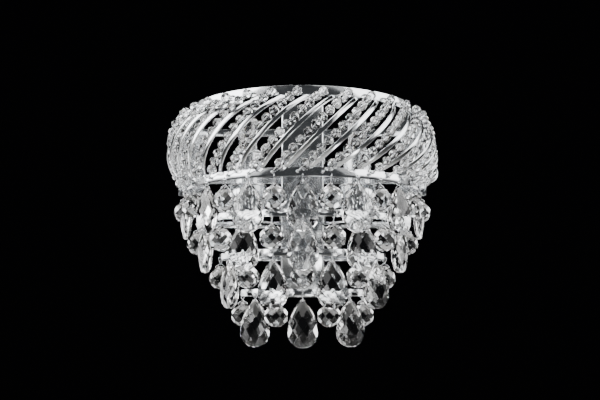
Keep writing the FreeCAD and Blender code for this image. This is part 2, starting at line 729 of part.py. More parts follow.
def make_bulb(side):
    """Push-in lamp: glass tube with a sloped shoulder, closed by a base with two pins."""
    centre_x = side * LAMP_X
    seat_z = CUP_BOTTOM_Z + CUP_HEIGHT + HOLDER_HEIGHT - SOCKET_DEPTH + BULB_SEAT
    base_top = seat_z + SOCKET_DEPTH - BASE_SUNK
    base = Part.makeCylinder(BULB_RADIUS, base_top - seat_z, Vec(centre_x, LAMP_Y, seat_z))
    base = base.fuse(pins(centre_x, PIN_WIDTH, seat_z - PIN_LENGTH, seat_z + PIN_ROOT))
    top_z = base_top + BULB_HEIGHT
    inner = BULB_RADIUS - BULB_WALL
    profile = [(inner, base_top), (BULB_RADIUS, base_top), (BULB_RADIUS, top_z - BULB_SHOULDER),
               (BULB_RADIUS - BULB_SHOULDER, top_z), (0, top_z), (0, top_z - BULB_SHOULDER),
               (inner, top_z - BULB_SHOULDER)]
    glass = revolved(profile, centre_x, LAMP_Y)
    return [base.removeSplitter().Solids[0], glass]


make_rims()
make_tier_rings()
make_ribs()
make_strands()
make_pendants()
make_back_frame()
make_column()
make_bracket()
make_side_screws()
make_terminal_block()
make_arms()
make_cups()
make_holders()
save("bulb_left", make_bulb(-1))
save("bulb_right", make_bulb(1))
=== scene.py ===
import json
import logging
import math
from collections.abc import Callable, Iterator
from contextlib import contextmanager
from dataclasses import dataclass
from enum import Enum

import bpy
from mathutils import Euler, Matrix, Vector


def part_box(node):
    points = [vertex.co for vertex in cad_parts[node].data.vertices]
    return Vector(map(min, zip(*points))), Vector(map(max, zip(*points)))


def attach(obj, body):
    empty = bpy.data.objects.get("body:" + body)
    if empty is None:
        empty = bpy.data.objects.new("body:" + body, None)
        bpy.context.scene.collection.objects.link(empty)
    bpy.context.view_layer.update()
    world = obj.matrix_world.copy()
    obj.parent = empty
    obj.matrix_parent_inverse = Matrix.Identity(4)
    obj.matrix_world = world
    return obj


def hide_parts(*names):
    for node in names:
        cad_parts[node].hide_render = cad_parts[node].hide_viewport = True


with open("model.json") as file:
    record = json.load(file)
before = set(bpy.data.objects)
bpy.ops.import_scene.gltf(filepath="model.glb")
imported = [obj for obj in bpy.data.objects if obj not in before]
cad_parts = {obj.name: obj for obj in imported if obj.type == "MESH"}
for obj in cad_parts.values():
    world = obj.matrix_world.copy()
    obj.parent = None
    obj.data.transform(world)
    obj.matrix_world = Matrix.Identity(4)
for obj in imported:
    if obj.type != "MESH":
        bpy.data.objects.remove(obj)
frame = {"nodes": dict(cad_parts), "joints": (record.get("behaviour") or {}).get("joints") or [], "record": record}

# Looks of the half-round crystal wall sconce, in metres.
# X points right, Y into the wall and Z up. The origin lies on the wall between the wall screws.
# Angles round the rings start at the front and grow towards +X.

Piece = bpy.types.Object
Tree = bpy.types.NodeTree
Node = bpy.types.Node
Socket = bpy.types.NodeSocket
Facet = tuple[Vector, float]
Place = Vector | tuple[float, float, float]
Test = Callable[[Vector, Vector], bool]

log = logging.getLogger("sconce")
MM = 0.001
UP = Vector((0, 0, 1))
MIRROR = Matrix.Scale(-1, 4, (1, 0, 0))
MERGE_DISTANCE = 0.001 * MM
PLANE_TOLERANCE = 0.0001 * MM
NEARBY = 0.01 * MM
# Least cosine between a direction and the axis that it counts as lying along
ALONG = 0.9
STONE_HOLE_RADIUS = 0.8 * MM
WIRE_CREASE = 50.0


class Pick(Enum):
    """Which elements of a mesh a selection takes."""

    VERTS = (True, False, False)
    EDGES = (False, True, False)
    FACES = (False, False, True)


class Slot(Enum):
    """Material slots of the record, handed along with a new piece's finish."""

    CHROME = "chrome"
    CRYSTAL = "crystal"
    BULB_GLASS = "bulb_glass"
    TERMINAL_PLASTIC = "terminal_plastic"


# Working on meshes


def lone(piece: Piece) -> None:
    """Make a piece the only selected object and the active one.

    Args:
        piece: The object to work on next.
    """
    bpy.ops.object.select_all(action="DESELECT")
    piece.select_set(True)
    bpy.context.view_layer.objects.active = piece


@contextmanager
def editing(piece: Piece, pick: Pick = Pick.VERTS, everything: bool = False) -> Iterator[None]:
    """Hold a piece in edit mode for as long as the block runs.

    Args:
        piece: The object to edit.
        pick: The kind of element that selections work on.
        everything: Whether the whole mesh is selected first.

    Returns:
        Nothing of use; the block works through operators.
    """
    lone(piece)
    bpy.context.tool_settings.mesh_select_mode = pick.value
    bpy.ops.object.mode_set(mode="EDIT")
    if everything:
        bpy.ops.mesh.select_all(action="SELECT")
    yield
    bpy.ops.object.mode_set(mode="OBJECT")


def choose(piece: Piece, pick: Pick, wanted: Test) -> None:
    """Select the elements of a mesh that pass a test, and nothing else.

    Args:
        piece: The object whose mesh is looked through, in object mode.
        pick: The kind of element to select.
        wanted: Takes an element's middle and its direction, which is the normal of a corner or a
            face and the run of an edge.
    """
    mesh = piece.data
    for group in (mesh.vertices, mesh.edges, mesh.polygons):
        group.foreach_set("select", [False] * len(group))
    if pick is Pick.VERTS:
        for vertex in mesh.vertices:
            vertex.select = wanted(vertex.co, vertex.normal)
    elif pick is Pick.FACES:
        for face in mesh.polygons:
            face.select = wanted(face.center, face.normal)
    else:
        for edge in mesh.edges:
            first, second = (mesh.vertices[index].co for index in edge.vertices)
            edge.select = wanted((first + second) / 2, (second - first).normalized())


def near(*targets: Vector) -> Test:
    """Make a test for choose that passes what lies at any of some places."""
    return lambda place, _: any((place - target).length < NEARBY for target in targets)


def extruded(run: Place) -> None:
    """Extrude what is selected in edit mode along a straight run."""
    bpy.ops.mesh.extrude_region_move(TRANSFORM_OT_translate={"value": run})


def sliced(place: Place, normal: Place, **settings: bool) -> None:
    """Cut the whole mesh in edit mode with a plane, given by a point and its direction."""
    bpy.ops.mesh.select_all(action="SELECT")
    bpy.ops.mesh.bisect(plane_co=place, plane_no=normal, threshold=PLANE_TOLERANCE, **settings)


def started(name: str) -> Piece:
    """Name the primitive that was just added and put its place into its mesh.

    Args:
        name: The new piece's name.

    Returns:
        The piece, unturned and unscaled at the origin.
    """
    piece = bpy.context.active_object
    piece.name = piece.data.name = name
    lone(piece)
    bpy.ops.object.transform_apply(location=True, rotation=True, scale=True)
    return piece


def box_between(name: str, low: Vector, high: Vector) -> Piece:
    """Add a box between its lowest and its highest corner."""
    bpy.ops.mesh.primitive_cube_add(size=1, location=(low + high) / 2, scale=high - low)
    return started(name)


def apply_modifier(piece: Piece, kind: str, **settings: object) -> None:
    """Add a modifier to a piece and apply it.

    Args:
        piece: The object to change.
        kind: Blender's name for the modifier.
        settings: Values of the modifier's own properties.
    """
    lone(piece)
    modifier = piece.modifiers.new(kind.title(), kind)
    for name, value in settings.items():
        setattr(modifier, name, value)
    bpy.ops.object.modifier_apply(modifier=modifier.name)


def copied(piece: Piece, name: str, move: Matrix) -> Piece:
    """Copy a piece with its own mesh.

    Args:
        piece: The object to copy.
        name: The copy's name.
        move: Where the copy goes from the piece's place.

    Returns:
        The copy.
    """
    twin = piece.copy()
    twin.data = piece.data.copy()
    twin.name = twin.data.name = name
    twin.data.transform(move)
    bpy.context.collection.objects.link(twin)
    if move.determinant() < 0:
        outward(twin)
    return twin


def joined(pieces: list[Piece], name: str) -> Piece:
    """Join pieces into one object.

    Args:
        pieces: The objects to join, at least one.
        name: The joined object's name.

    Returns:
        The joined object.
    """
    lone(pieces[0])
    for piece in pieces:
        piece.select_set(True)
    bpy.ops.object.join()
    pieces[0].name = pieces[0].data.name = name
    return pieces[0]


def paired(piece: Piece, name: str, move: Matrix) -> Piece:
    """Join a piece with a moved copy of itself."""
    return joined([piece, copied(piece, name + "_twin", move)], name)


def discard(piece: Piece) -> None:
    """Remove a cutter or a pattern that has served its turn."""
    bpy.data.objects.remove(piece)


def outward(piece: Piece) -> None:
    """Merge a closed mesh's doubles and turn its faces outwards.

    Args:
        piece: The object to mend.
    """
    with editing(piece, everything=True):
        bpy.ops.mesh.remove_doubles(threshold=MERGE_DISTANCE)
        bpy.ops.mesh.normals_make_consistent(inside=False)


def smoothed(piece: Piece, degrees: float = 32.0) -> None:
    """Shade a piece smooth where its faces meet at no more than an angle."""
    lone(piece)
    bpy.ops.object.shade_smooth_by_angle(angle=math.radians(degrees))


def cut(piece: Piece, cutters: list[Piece]) -> None:
    """Cut holes through a piece with other pieces, which are used up.

    Args:
        piece: The object to cut.
        cutters: Closed objects that don't touch each other.
    """
    cutter = joined(cutters, "cutter")
    apply_modifier(piece, "BOOLEAN", operation="DIFFERENCE", solver="EXACT", object=cutter)
    discard(cutter)
    outward(piece)


def softened(piece: Piece, width: float, segments: int = 2) -> None:
    """Round a piece's sharp edges off a little, as tumbling and plating do."""
    apply_modifier(piece, "BEVEL", width=width, segments=segments, limit_method="ANGLE",
                   angle_limit=math.radians(40), harden_normals=False)


def trace(name: str, points: list[Vector], closed: bool = False) -> Piece:
    """Draw a line of edges from point to point.

    Args:
        name: The new piece's name.
        points: The points in order.
        closed: Whether the last point is joined to the first.

    Returns:
        An object that has edges and no faces.
    """
    bpy.ops.mesh.primitive_plane_add(size=MM, location=points[0])
    with editing(bpy.context.active_object, everything=True):
        bpy.ops.mesh.merge(type="CENTER")
        for before, after in zip(points, points[1:]):
            extruded(after - before)
    line = started(name)
    if closed:
        choose(line, Pick.VERTS, near(points[0], points[-1]))
        with editing(line):
            bpy.ops.mesh.edge_face_add()
    return line


def rounded_corners(line: Piece, corners: list[Vector], reach: float,
                    segments: int = 4) -> None:
    """Round some corners of a line of edges.

    Args:
        line: The object to change.
        corners: The places of the corners to round.
        reach: How far from its corner each round begins.
        segments: The edges that each round is made of.
    """
    choose(line, Pick.VERTS, near(*corners))
    with editing(line):
        bpy.ops.mesh.bevel(offset=reach, segments=segments, affect="VERTICES", clamp_overlap=False)


def wire_from(line: Piece, radius: float, resolution: int = 2) -> Piece:
    """Give a line of edges the thickness of a round wire.

    Args:
        line: An object of edges alone.
        radius: The wire's radius.
        resolution: How finely its section is divided.

    Returns:
        The same object, now a closed mesh.
    """
    name = line.name
    lone(line)
    bpy.ops.object.convert(target="CURVE")
    curve = bpy.context.active_object
    curve.data.bevel_depth = radius
    curve.data.bevel_resolution = resolution
    curve.data.use_fill_caps = True
    bpy.ops.object.convert(target="MESH")
    wire = bpy.context.active_object
    wire.name = wire.data.name = name
    outward(wire)
    smoothed(wire, WIRE_CREASE)
    return wire


def turned_on_lathe(name: str, outline: list[tuple[float, float]], middle: Vector,
                    steps: int) -> Piece:
    """Turn an outline about an upright axis.

    Args:
        name: The new piece's name.
        outline: Radius and height of each point; a closed outline ends on its first point.
        middle: A point of the axis.
        steps: The number of steps in the full turn.

    Returns:
        The turned piece, with its faces outwards.
    """
    points = [Vector((middle.x + radius, middle.y, height)) for radius, height in outline]
    piece = trace(name, points)
    with editing(piece, everything=True):
        bpy.ops.mesh.spin(steps=steps, angle=2 * math.pi, center=middle, axis=UP)
    outward(piece)
    return piece


def ground_off(piece: Piece, facets: list[Facet]) -> None:
    """Grind flat facets on a stone.

    Args:
        piece: The rough stone, round the origin.
        facets: Direction and distance of each facet's plane from the origin.
    """
    with editing(piece):
        for normal, distance in facets:
            sliced(normal * distance, normal, use_fill=True, clear_outer=True)


# Finishes


def linear(code: str) -> tuple[float, float, float, float]:
    """Turn an sRGB hex value into a linear colour.

    Args:
        code: Six hex digits after a hash sign.

    Returns:
        Red, green, blue and full opacity.
    """
    shares = [int(code[index:index + 2], 16) / 255 for index in (1, 3, 5)]
    red, green, blue = (s / 12.92 if s <= 0.04045 else ((s + 0.055) / 1.055) ** 2.4 for s in shares)
    return red, green, blue, 1.0


def add_node(tree: Tree, kind: str, settings: dict[str, object],
             links: dict[str, Socket]) -> Node:
    """Add a node with its settings and links.

    Args:
        tree: The node tree it goes into.
        kind: Blender's name for the node.
        settings: Values of its properties and of its unlinked inputs.
        links: The output that feeds each linked input.

    Returns:
        The new node.
    """
    node = tree.nodes.new(kind)
    for name, value in settings.items():
        if name in node.inputs:
            node.inputs[name].default_value = value
        else:
            setattr(node, name, value)
    for name, source in links.items():
        tree.links.new(source, node.inputs[name])
    return node


@dataclass(frozen=True)
class Finish:
    """A surface finish; each kind adds its own pattern to the shader."""

    name: str
    colour: str
    roughness: float

    def material(self) -> bpy.types.Material:
        """Find this finish's material, or make it on first use.

        Returns:
            The material.
        """
        if self.name in bpy.data.materials:
            return bpy.data.materials[self.name]
        material = bpy.data.materials.new(self.name)
        material.use_nodes = True
        tree = material.node_tree
        tree.nodes.clear()
        shader = add_node(tree, "ShaderNodeBsdfPrincipled",
                          {"Base Color": linear(self.colour), "Roughness": self.roughness}, {})
        add_node(tree, "ShaderNodeOutputMaterial", {}, {"Surface": shader.outputs["BSDF"]})
        place = add_node(tree, "ShaderNodeTexCoord", {}, {}).outputs["Object"]
        self.pattern(tree, shader, place)
        return material

    def pattern(self, tree: Tree, shader: Node, place: Socket) -> None:
        """Add what tells this finish from others; a bare finish adds nothing."""

    def vary(self, tree: Tree, shader: Node, gloss: Node, shares: tuple[float, float],
             relief: Node, depth: float) -> None:
        """Let two textures vary the gloss and the height of the surface.

        Args:
            tree: The material's node tree.
            shader: The surface's shader.
            gloss: The texture that the roughness follows.
            shares: The least and the most roughness, as shares of the finish's own.
            relief: The texture that the height follows.
            depth: How high the relief rises.
        """
        low, high = (share * self.roughness for share in shares)
        spread = add_node(tree, "ShaderNodeMapRange",
                          {"From Min": 0.3, "From Max": 0.7, "To Min": low, "To Max": high},
                          {"Value": gloss.outputs["Fac"]})
        tree.links.new(spread.outputs["Result"], shader.inputs["Roughness"])
        bump = add_node(tree, "ShaderNodeBump", {"Distance": depth}, {"Height": relief.outputs["Fac"]})
        tree.links.new(bump.outputs["Normal"], shader.inputs["Normal"])


@dataclass(frozen=True)
class ChromePlate(Finish):
    """Steel strip, bent, polished and chrome plated.

    The eye sees a bright mirror with a faint haze left by the polishing wheel, and reflections
    that waver a little because rolled strip is never quite flat.
    """

    haze_grain: float = 9 * MM
    wave_grain: float = 16 * MM
    wave_depth: float = 0.02 * MM

    def pattern(self, tree: Tree, shader: Node, place: Socket) -> None:
        """Add the polishing haze and the strip's waviness.

        Args:
            tree: The material's node tree.
            shader: The surface's shader.
            place: The object's own coordinates.
        """
        shader.inputs["Metallic"].default_value = 1.0
        haze = add_node(tree, "ShaderNodeTexNoise", {"Scale": 1 / self.haze_grain, "Detail": 4.0},
                        {"Vector": place})
        waves = add_node(tree, "ShaderNodeTexNoise", {"Scale": 1 / self.wave_grain, "Detail": 0.0},
                         {"Vector": place})
        self.vary(tree, shader, haze, (0.6, 1.5), waves, self.wave_depth)


@dataclass(frozen=True)
class CutCrystal(Finish):
    """Clear crystal glass, machine cut and fire polished.

    The eye sees glass without colour, flat bright facets, and a trace of the polishing felt on
    them that softens the smallest reflections.
    """

    refraction: float = 1.54
    felt_grain: float = 3 * MM
    felt_depth: float = 0.001 * MM

    def pattern(self, tree: Tree, shader: Node, place: Socket) -> None:
        """Add the glass and the marks of the felt.

        Args:
            tree: The material's node tree.
            shader: The surface's shader.
            place: The object's own coordinates.
        """
        shader.inputs["Transmission Weight"].default_value = 1.0
        shader.inputs["IOR"].default_value = self.refraction
        marks = add_node(tree, "ShaderNodeTexNoise", {"Scale": 1 / self.felt_grain, "Detail": 1.0},
                         {"Vector": place})
        self.vary(tree, shader, marks, (0.0, 2.0), marks, self.felt_depth)


@dataclass(frozen=True)
class DrawnTube(Finish):
    """Clear tube of the lamps, drawn from molten glass.

    The eye sees thin glass with faint upright streaks from the drawing.
    """

    refraction: float = 1.47
    streak_grain: float = 1.1 * MM
    streak_depth: float = 0.02 * MM
    streak_squeeze: float = 0.05

    def pattern(self, tree: Tree, shader: Node, place: Socket) -> None:
        """Add the glass and its streaks.

        Args:
            tree: The material's node tree.
            shader: The surface's shader.
            place: The object's own coordinates.
        """
        shader.inputs["Transmission Weight"].default_value = 1.0
        shader.inputs["IOR"].default_value = self.refraction
        tall = add_node(tree, "ShaderNodeMapping", {"Scale": (1.0, 1.0, self.streak_squeeze)},
                        {"Vector": place})
        streaks = add_node(tree, "ShaderNodeTexNoise", {"Scale": 1 / self.streak_grain},
                           {"Vector": tall.outputs["Vector"]})
        relief = add_node(tree, "ShaderNodeBump", {"Distance": self.streak_depth},
                          {"Height": streaks.outputs["Fac"]})
        tree.links.new(relief.outputs["Normal"], shader.inputs["Normal"])


@dataclass(frozen=True)
class ZincSheet(Finish):
    """Pressed steel sheet with a bright zinc plating.

    The eye sees a soft grey metal with cloudy patches and fine rolling lines along its length.
    """

    cloud_grain: float = 7 * MM
    line_grain: float = 0.5 * MM
    line_depth: float = 0.01 * MM
    line_squeeze: float = 0.03
    dark: str = "#7E8285"

    def pattern(self, tree: Tree, shader: Node, place: Socket) -> None:
        """Add the clouds and the rolling lines.

        Args:
            tree: The material's node tree.
            shader: The surface's shader.
            place: The object's own coordinates.
        """
        shader.inputs["Metallic"].default_value = 1.0
        clouds = add_node(tree, "ShaderNodeTexNoise", {"Scale": 1 / self.cloud_grain, "Detail": 3.0},
                          {"Vector": place})
        tint = add_node(tree, "ShaderNodeValToRGB", {}, {"Fac": clouds.outputs["Fac"]})
        for stop, position, code in zip(tint.color_ramp.elements, (0.3, 0.7), (self.dark, self.colour)):
            stop.position = position
            stop.color = linear(code)
        tree.links.new(tint.outputs["Color"], shader.inputs["Base Color"])
        along = add_node(tree, "ShaderNodeMapping", {"Scale": (1.0, 1.0, self.line_squeeze)},
                         {"Vector": place})
        lines = add_node(tree, "ShaderNodeTexNoise", {"Scale": 1 / self.line_grain},
                         {"Vector": along.outputs["Vector"]})
        self.vary(tree, shader, clouds, (0.8, 1.2), lines, self.line_depth)


@dataclass(frozen=True)
class MouldedPart(Finish):
    """Moulded plastic or pressed ceramic.

    The eye sees an even pale body whose skin is very slightly pitted and unevenly glossy.
    """

    pit_grain: float = 0.6 * MM
    pit_depth: float = 0.02 * MM

    def pattern(self, tree: Tree, shader: Node, place: Socket) -> None:
        """Add the pitted skin.

        Args:
            tree: The material's node tree.
            shader: The surface's shader.
            place: The object's own coordinates.
        """
        pits = add_node(tree, "ShaderNodeTexNoise", {"Scale": 1 / self.pit_grain}, {"Vector": place})
        self.vary(tree, shader, pits, (0.8, 1.25), pits, self.pit_depth)


CHROME = ChromePlate("chrome_plate", "#E2E4E6", 0.13)
CRYSTAL = CutCrystal("cut_crystal", "#FFFFFF", 0.004)
TUBE_GLASS = DrawnTube("drawn_tube_glass", "#FFFFFF", 0.02)
ZINC = ZincSheet("zinc_plated_sheet", "#B4B7B9", 0.34)
BRASS = ChromePlate("nickel_plated_brass", "#C9BFA8", 0.18)
PLASTIC = MouldedPart("moulded_polyamide", "#DEDDD6", 0.42)
CERAMIC = MouldedPart("pressed_ceramic", "#E9E7E0", 0.3)


def finished(piece: Piece, finish: Finish, slot: Slot, body: str,
             *nodes: str) -> Piece:
    """Dress a new piece and give it its place in the frame.

    Args:
        piece: The finished piece.
        finish: The finish that its whole surface gets.
        slot: The record's material slot that the finish belongs to; not used.
        body: The body that it rides on.
        nodes: The CAD nodes that it stands for.

    Returns:
        The same piece.
    """
    piece.data.materials.clear()
    piece.data.materials.append(finish.material())
    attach(piece, body)
    if nodes:
        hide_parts(*nodes)
    log.info("%s: %d faces on %s", piece.name, len(piece.data.polygons), body)
    return piece


class ChromeWork:
    """Maker of one chrome piece of the lamp's frame, which stands for one CAD node."""

    node: str

    def dress(self, piece: Piece) -> None:
        """Give the piece its chrome and its place."""
        finished(piece, CHROME, Slot.CHROME, "lamp_frame", self.node)


# Camera, lights and floor


@dataclass(frozen=True)
class Softbox:
    """Flat studio light that looks at a point of the object."""

    name: str
    place: tuple[float, float, float]
    width: float
    height: float
    watts: float

    def add(self, target: Vector) -> None:
        """Add the light.

        Args:
            target: The point that it looks at.
        """
        place = Vector(self.place)
        aim = (target - place).to_track_quat("-Z", "Y").to_euler()
        bpy.ops.object.light_add(type="AREA", location=place, rotation=aim)
        light = bpy.context.active_object
        light.name = self.name
        light.data.shape = "RECTANGLE"
        light.data.size = self.width
        light.data.size_y = self.height
        light.data.energy = self.watts
        light.visible_camera = False


@dataclass
class Studio:
    """Camera at the photograph's angle, soft light and a plain pale floor."""

    eye: tuple[float, float, float] = (-0.0027, -0.8309, -0.1583)
    pitch: float = 6.59
    lens: float = 45.08
    shift: float = 0.03
    floor_z: float = -1.1
    floor_size: float = 11.0
    room_front: str = "#424446"
    room_back: str = "#040405"
    room_edge: float = 0.56
    aim: tuple[float, float, float] = (0.0, -0.08, -0.06)

    def add_camera(self) -> None:
        """Add the camera and make it the scene's."""
        turn = Euler((math.radians(90 + self.pitch), 0, 0))
        bpy.ops.object.camera_add(location=self.eye, rotation=turn)
        camera = bpy.context.active_object
        camera.name = "photo_camera"
        camera.data.lens = self.lens
        camera.data.shift_y = self.shift
        camera.data.sensor_width = 36
        camera.data.clip_start = 0.02
        bpy.context.scene.camera = camera

    def add_lights(self) -> None:
        """Add soft lights at both sides, behind, above and in front."""
        target = Vector(self.aim)
        for box in (Softbox("side_left", (-1.15, -0.35, 0.5), 1.3, 1.0, 30),
                    Softbox("side_right", (1.15, -0.35, 0.5), 1.3, 1.0, 19),
                    Softbox("wide_left", (-1.5, -0.4, 0.6), 2.8, 1.5, 13),
                    Softbox("wide_right", (1.5, -0.4, 0.6), 2.8, 1.5, 8),
                    Softbox("rear_left", (-0.95, 0.85, -0.4), 0.6, 1.0, 7),
                    Softbox("rear_right", (0.95, 0.85, -0.4), 0.6, 1.0, 6),
                    Softbox("glow_left", (-0.46, 1.3, 0.05), 0.3, 0.7, 0.03),
                    Softbox("glow_right", (0.4, 1.3, -0.1), 0.24, 0.6, 0.045),
                    Softbox("back_fill", (0.0, 2.0, 1.1), 1.8, 0.8, 2.5),
                    Softbox("above", (0.0, -0.35, 1.35), 1.5, 1.0, 24),
                    Softbox("front_high", (0.5, -1.2, 1.2), 0.6, 0.4, 0.9),
                    Softbox("front_low", (0.45, -1.6, -0.85), 0.5, 0.4, 5)):
            box.add(target)

    def add_surroundings(self) -> None:
        """Add the floor and the grey room that the chrome and the stones reflect."""
        bpy.ops.mesh.primitive_plane_add(size=self.floor_size, location=(0, 0, self.floor_z))
        floor = started("floor")
        plaster = MouldedPart("pale_studio_floor", "#C9C8C5", 0.7, 4 * MM, 0.05 * MM)
        floor.data.materials.append(plaster.material())
        world = bpy.data.worlds.new("grey_room")
        bpy.context.scene.world = world
        world.use_nodes = True
        tree = world.node_tree
        tree.nodes.clear()
        direction = add_node(tree, "ShaderNodeTexCoord", {}, {}).outputs["Generated"]
        parts = add_node(tree, "ShaderNodeSeparateXYZ", {}, {"Vector": direction})
        depth = add_node(tree, "ShaderNodeMapRange", {"From Min": -1.0, "From Max": 1.0},
                         {"Value": parts.outputs["Y"]})
        ramp = add_node(tree, "ShaderNodeValToRGB", {}, {"Fac": depth.outputs["Result"]})
        ramp.color_ramp.elements[0].color = linear(self.room_front)
        ramp.color_ramp.elements[1].color = linear(self.room_back)
        ramp.color_ramp.elements[1].position = self.room_edge
        sky = add_node(tree, "ShaderNodeBackground", {"Strength": 1.0}, {"Color": ramp.outputs["Color"]})
        add_node(tree, "ShaderNodeOutputWorld", {}, {"Surface": sky.outputs["Background"]})


# Rims and tier rings


@dataclass
class Hoop(ChromeWork):
    """Strip bent to a half circle, with its ends turned in along the back."""

    node: str
    thick: float
    end_x: float
    hole_angles: list[float]
    hole_width: float = 1.6 * MM
    hole_height: float = 2.2 * MM
    hole_edge: float = 1.2 * MM
    corner: float = 2.5 * MM
    shortest_step: float = 0.3 * MM
    edge: float = 0.22 * MM
    punch_reach: float = 3 * MM
    punch_depth: float = 5 * MM
    segments: int = 240

    def build(self) -> Piece:
        """Bend the strip, thicken it and punch its hook holes.

        Returns:
            The strip.
        """
        low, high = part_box(self.node)
        radius = -low.y
        bpy.ops.mesh.primitive_circle_add(vertices=self.segments, radius=radius, location=(0, 0, low.z))
        strip = started(self.node + "_strip")
        with editing(strip):
            sliced((0, high.y, low.z), (0, 1, 0), clear_outer=True)
        corner_x = math.sqrt(radius * radius - high.y * high.y)
        corners = {side: Vector((side * corner_x, high.y, low.z)) for side in (-1, 1)}
        for side, corner in corners.items():
            choose(strip, Pick.VERTS, near(corner))
            with editing(strip):
                extruded((side * (self.end_x - corner_x), 0, 0))
        rounded_corners(strip, list(corners.values()), self.corner)
        with editing(strip, everything=True):
            bpy.ops.mesh.remove_doubles(threshold=self.shortest_step)
            extruded((0, 0, high.z - low.z))
            bpy.ops.mesh.select_all(action="SELECT")
            bpy.ops.mesh.normals_make_consistent(inside=False)
        front = min(strip.data.polygons, key=lambda face: face.center.y)
        inwards = front.normal.y > 0
        apply_modifier(strip, "SOLIDIFY", thickness=self.thick, offset=1.0 if inwards else -1.0,
                       use_even_offset=True)
        softened(strip, self.edge)
        if self.hole_angles:
            cut(strip, self.hole_cutters(radius, low.z + self.hole_edge))
        smoothed(strip)
        return strip

    def hole_cutters(self, radius: float, bottom: float) -> list[Piece]:
        """Make the punches for the hook holes.

        Args:
            radius: The strip's outer radius.
            bottom: The height of the holes' lower edges.

        Returns:
            One rounded punch for each hole.
        """
        half = self.hole_width / 2
        punch = box_between("punch", Vector((-half, -radius - self.punch_reach, bottom)),
                            Vector((half, -radius + self.punch_depth, bottom + self.hole_height)))
        choose(punch, Pick.EDGES, lambda _, run: abs(run.y) > ALONG)
        with editing(punch, Pick.EDGES):
            bpy.ops.mesh.bevel(offset=0.7 * half, segments=3, affect="EDGES")
        punches = [copied(punch, "punch", Matrix.Rotation(angle, 4, "Z"))
                   for angle in self.hole_angles]
        discard(punch)
        return punches


# Swirl of ribs and bead strands


class SwirlArc:
    """Circular arc from a foot to a head that bulges away from the rings' axis."""

    def __init__(self, foot: Vector, head: Vector, largest_radius: float) -> None:
        """Work out the arc.

        Args:
            foot: The arc's lower end.
            head: The arc's upper end.
            largest_radius: The distance of the arc's middle from the rings' axis.
        """
        chord = head - foot
        middle = (foot + head) / 2
        self.foot = foot
        self.head = head
        self.along = chord.normalized()
        away = Vector((middle.x, middle.y, 0)).normalized()
        self.away = (away - self.along * away.dot(self.along)).normalized()
        rise = largest_radius - math.hypot(middle.x, middle.y)
        half = chord.length / 2
        self.radius = (half * half + rise * rise) / (2 * rise)
        self.centre = middle + self.away * (rise - self.radius)
        self.half_angle = math.asin(min(1.0, half / self.radius))
        if rise > self.radius:
            self.half_angle = math.pi - self.half_angle
        self.axis = self.away.cross(self.along)

    def point(self, angle: float) -> Vector:
        """Find the point of the arc at an angle from its middle."""
        spoke = self.away * math.cos(angle) + self.along * math.sin(angle)
        return self.centre + spoke * self.radius

    def tangent(self, angle: float) -> Vector:
        """Find the direction towards the head at an angle from the arc's middle."""
        return self.along * math.cos(angle) - self.away * math.sin(angle)

    def turn(self) -> Euler:
        """Find the turn that lays a primitive's Z axis along the arc's axis."""
        return self.axis.to_track_quat("Z", "Y").to_euler()


@dataclass
class Swirl:
    """Sizes that the ribs and the bead strands share."""

    pitches: int = 17
    twist: int = 3
    phase: float = math.radians(-2.25)
    shortest_span: float = 0.35
    flange_x: float = 137.5 * MM
    flange_depth: float = 7 * MM

    @property
    def pitch(self) -> float:
        """Angle between two ribs."""
        return math.pi / self.pitches

    def at_wall(self, end: Vector) -> bool:
        """Tell whether an end stands on an upright's flange."""
        return abs(abs(end.x) - self.flange_x) < MERGE_DISTANCE

    def ends(self, first: float, foot: tuple[float, float],
             head: tuple[float, float]) -> list[tuple[Vector, Vector]]:
        """Find the foot and the head of every rib or strand.

        Args:
            first: The angle that the row of feet is counted from.
            foot: Radius and height of a foot.
            head: Radius and height of a head.

        Returns:
            A pair of ends each, those cut short by the wall included.
        """
        sweep = self.twist * self.pitch
        right_angle = math.pi / 2
        rise = head[1] - foot[1]
        found = []
        for index in range(-self.pitches, self.pitches):
            low = first + index * self.pitch
            high = low + sweep
            low_end = on_ring(foot[0], low, foot[1])
            high_end = on_ring(head[0], high, head[1])
            wall_angle = -right_angle if low < -right_angle else right_angle
            share = (wall_angle - low) / sweep
            stop = Vector((math.copysign(self.flange_x, low), -self.flange_depth / 2,
                           foot[1] + share * rise))
            if -right_angle < low and high < right_angle:
                found.append((low_end, high_end))
            elif low < -right_angle and 1 - share > self.shortest_span:
                found.append((stop, high_end))
            elif high > right_angle and share > self.shortest_span:
                found.append((low_end, stop))
        return found


def on_ring(radius: float, angle: float, z: float) -> Vector:
    """Find the point at a radius and angle round the rings' axis."""
    return Vector((radius * math.sin(angle), -radius * math.cos(angle), z))


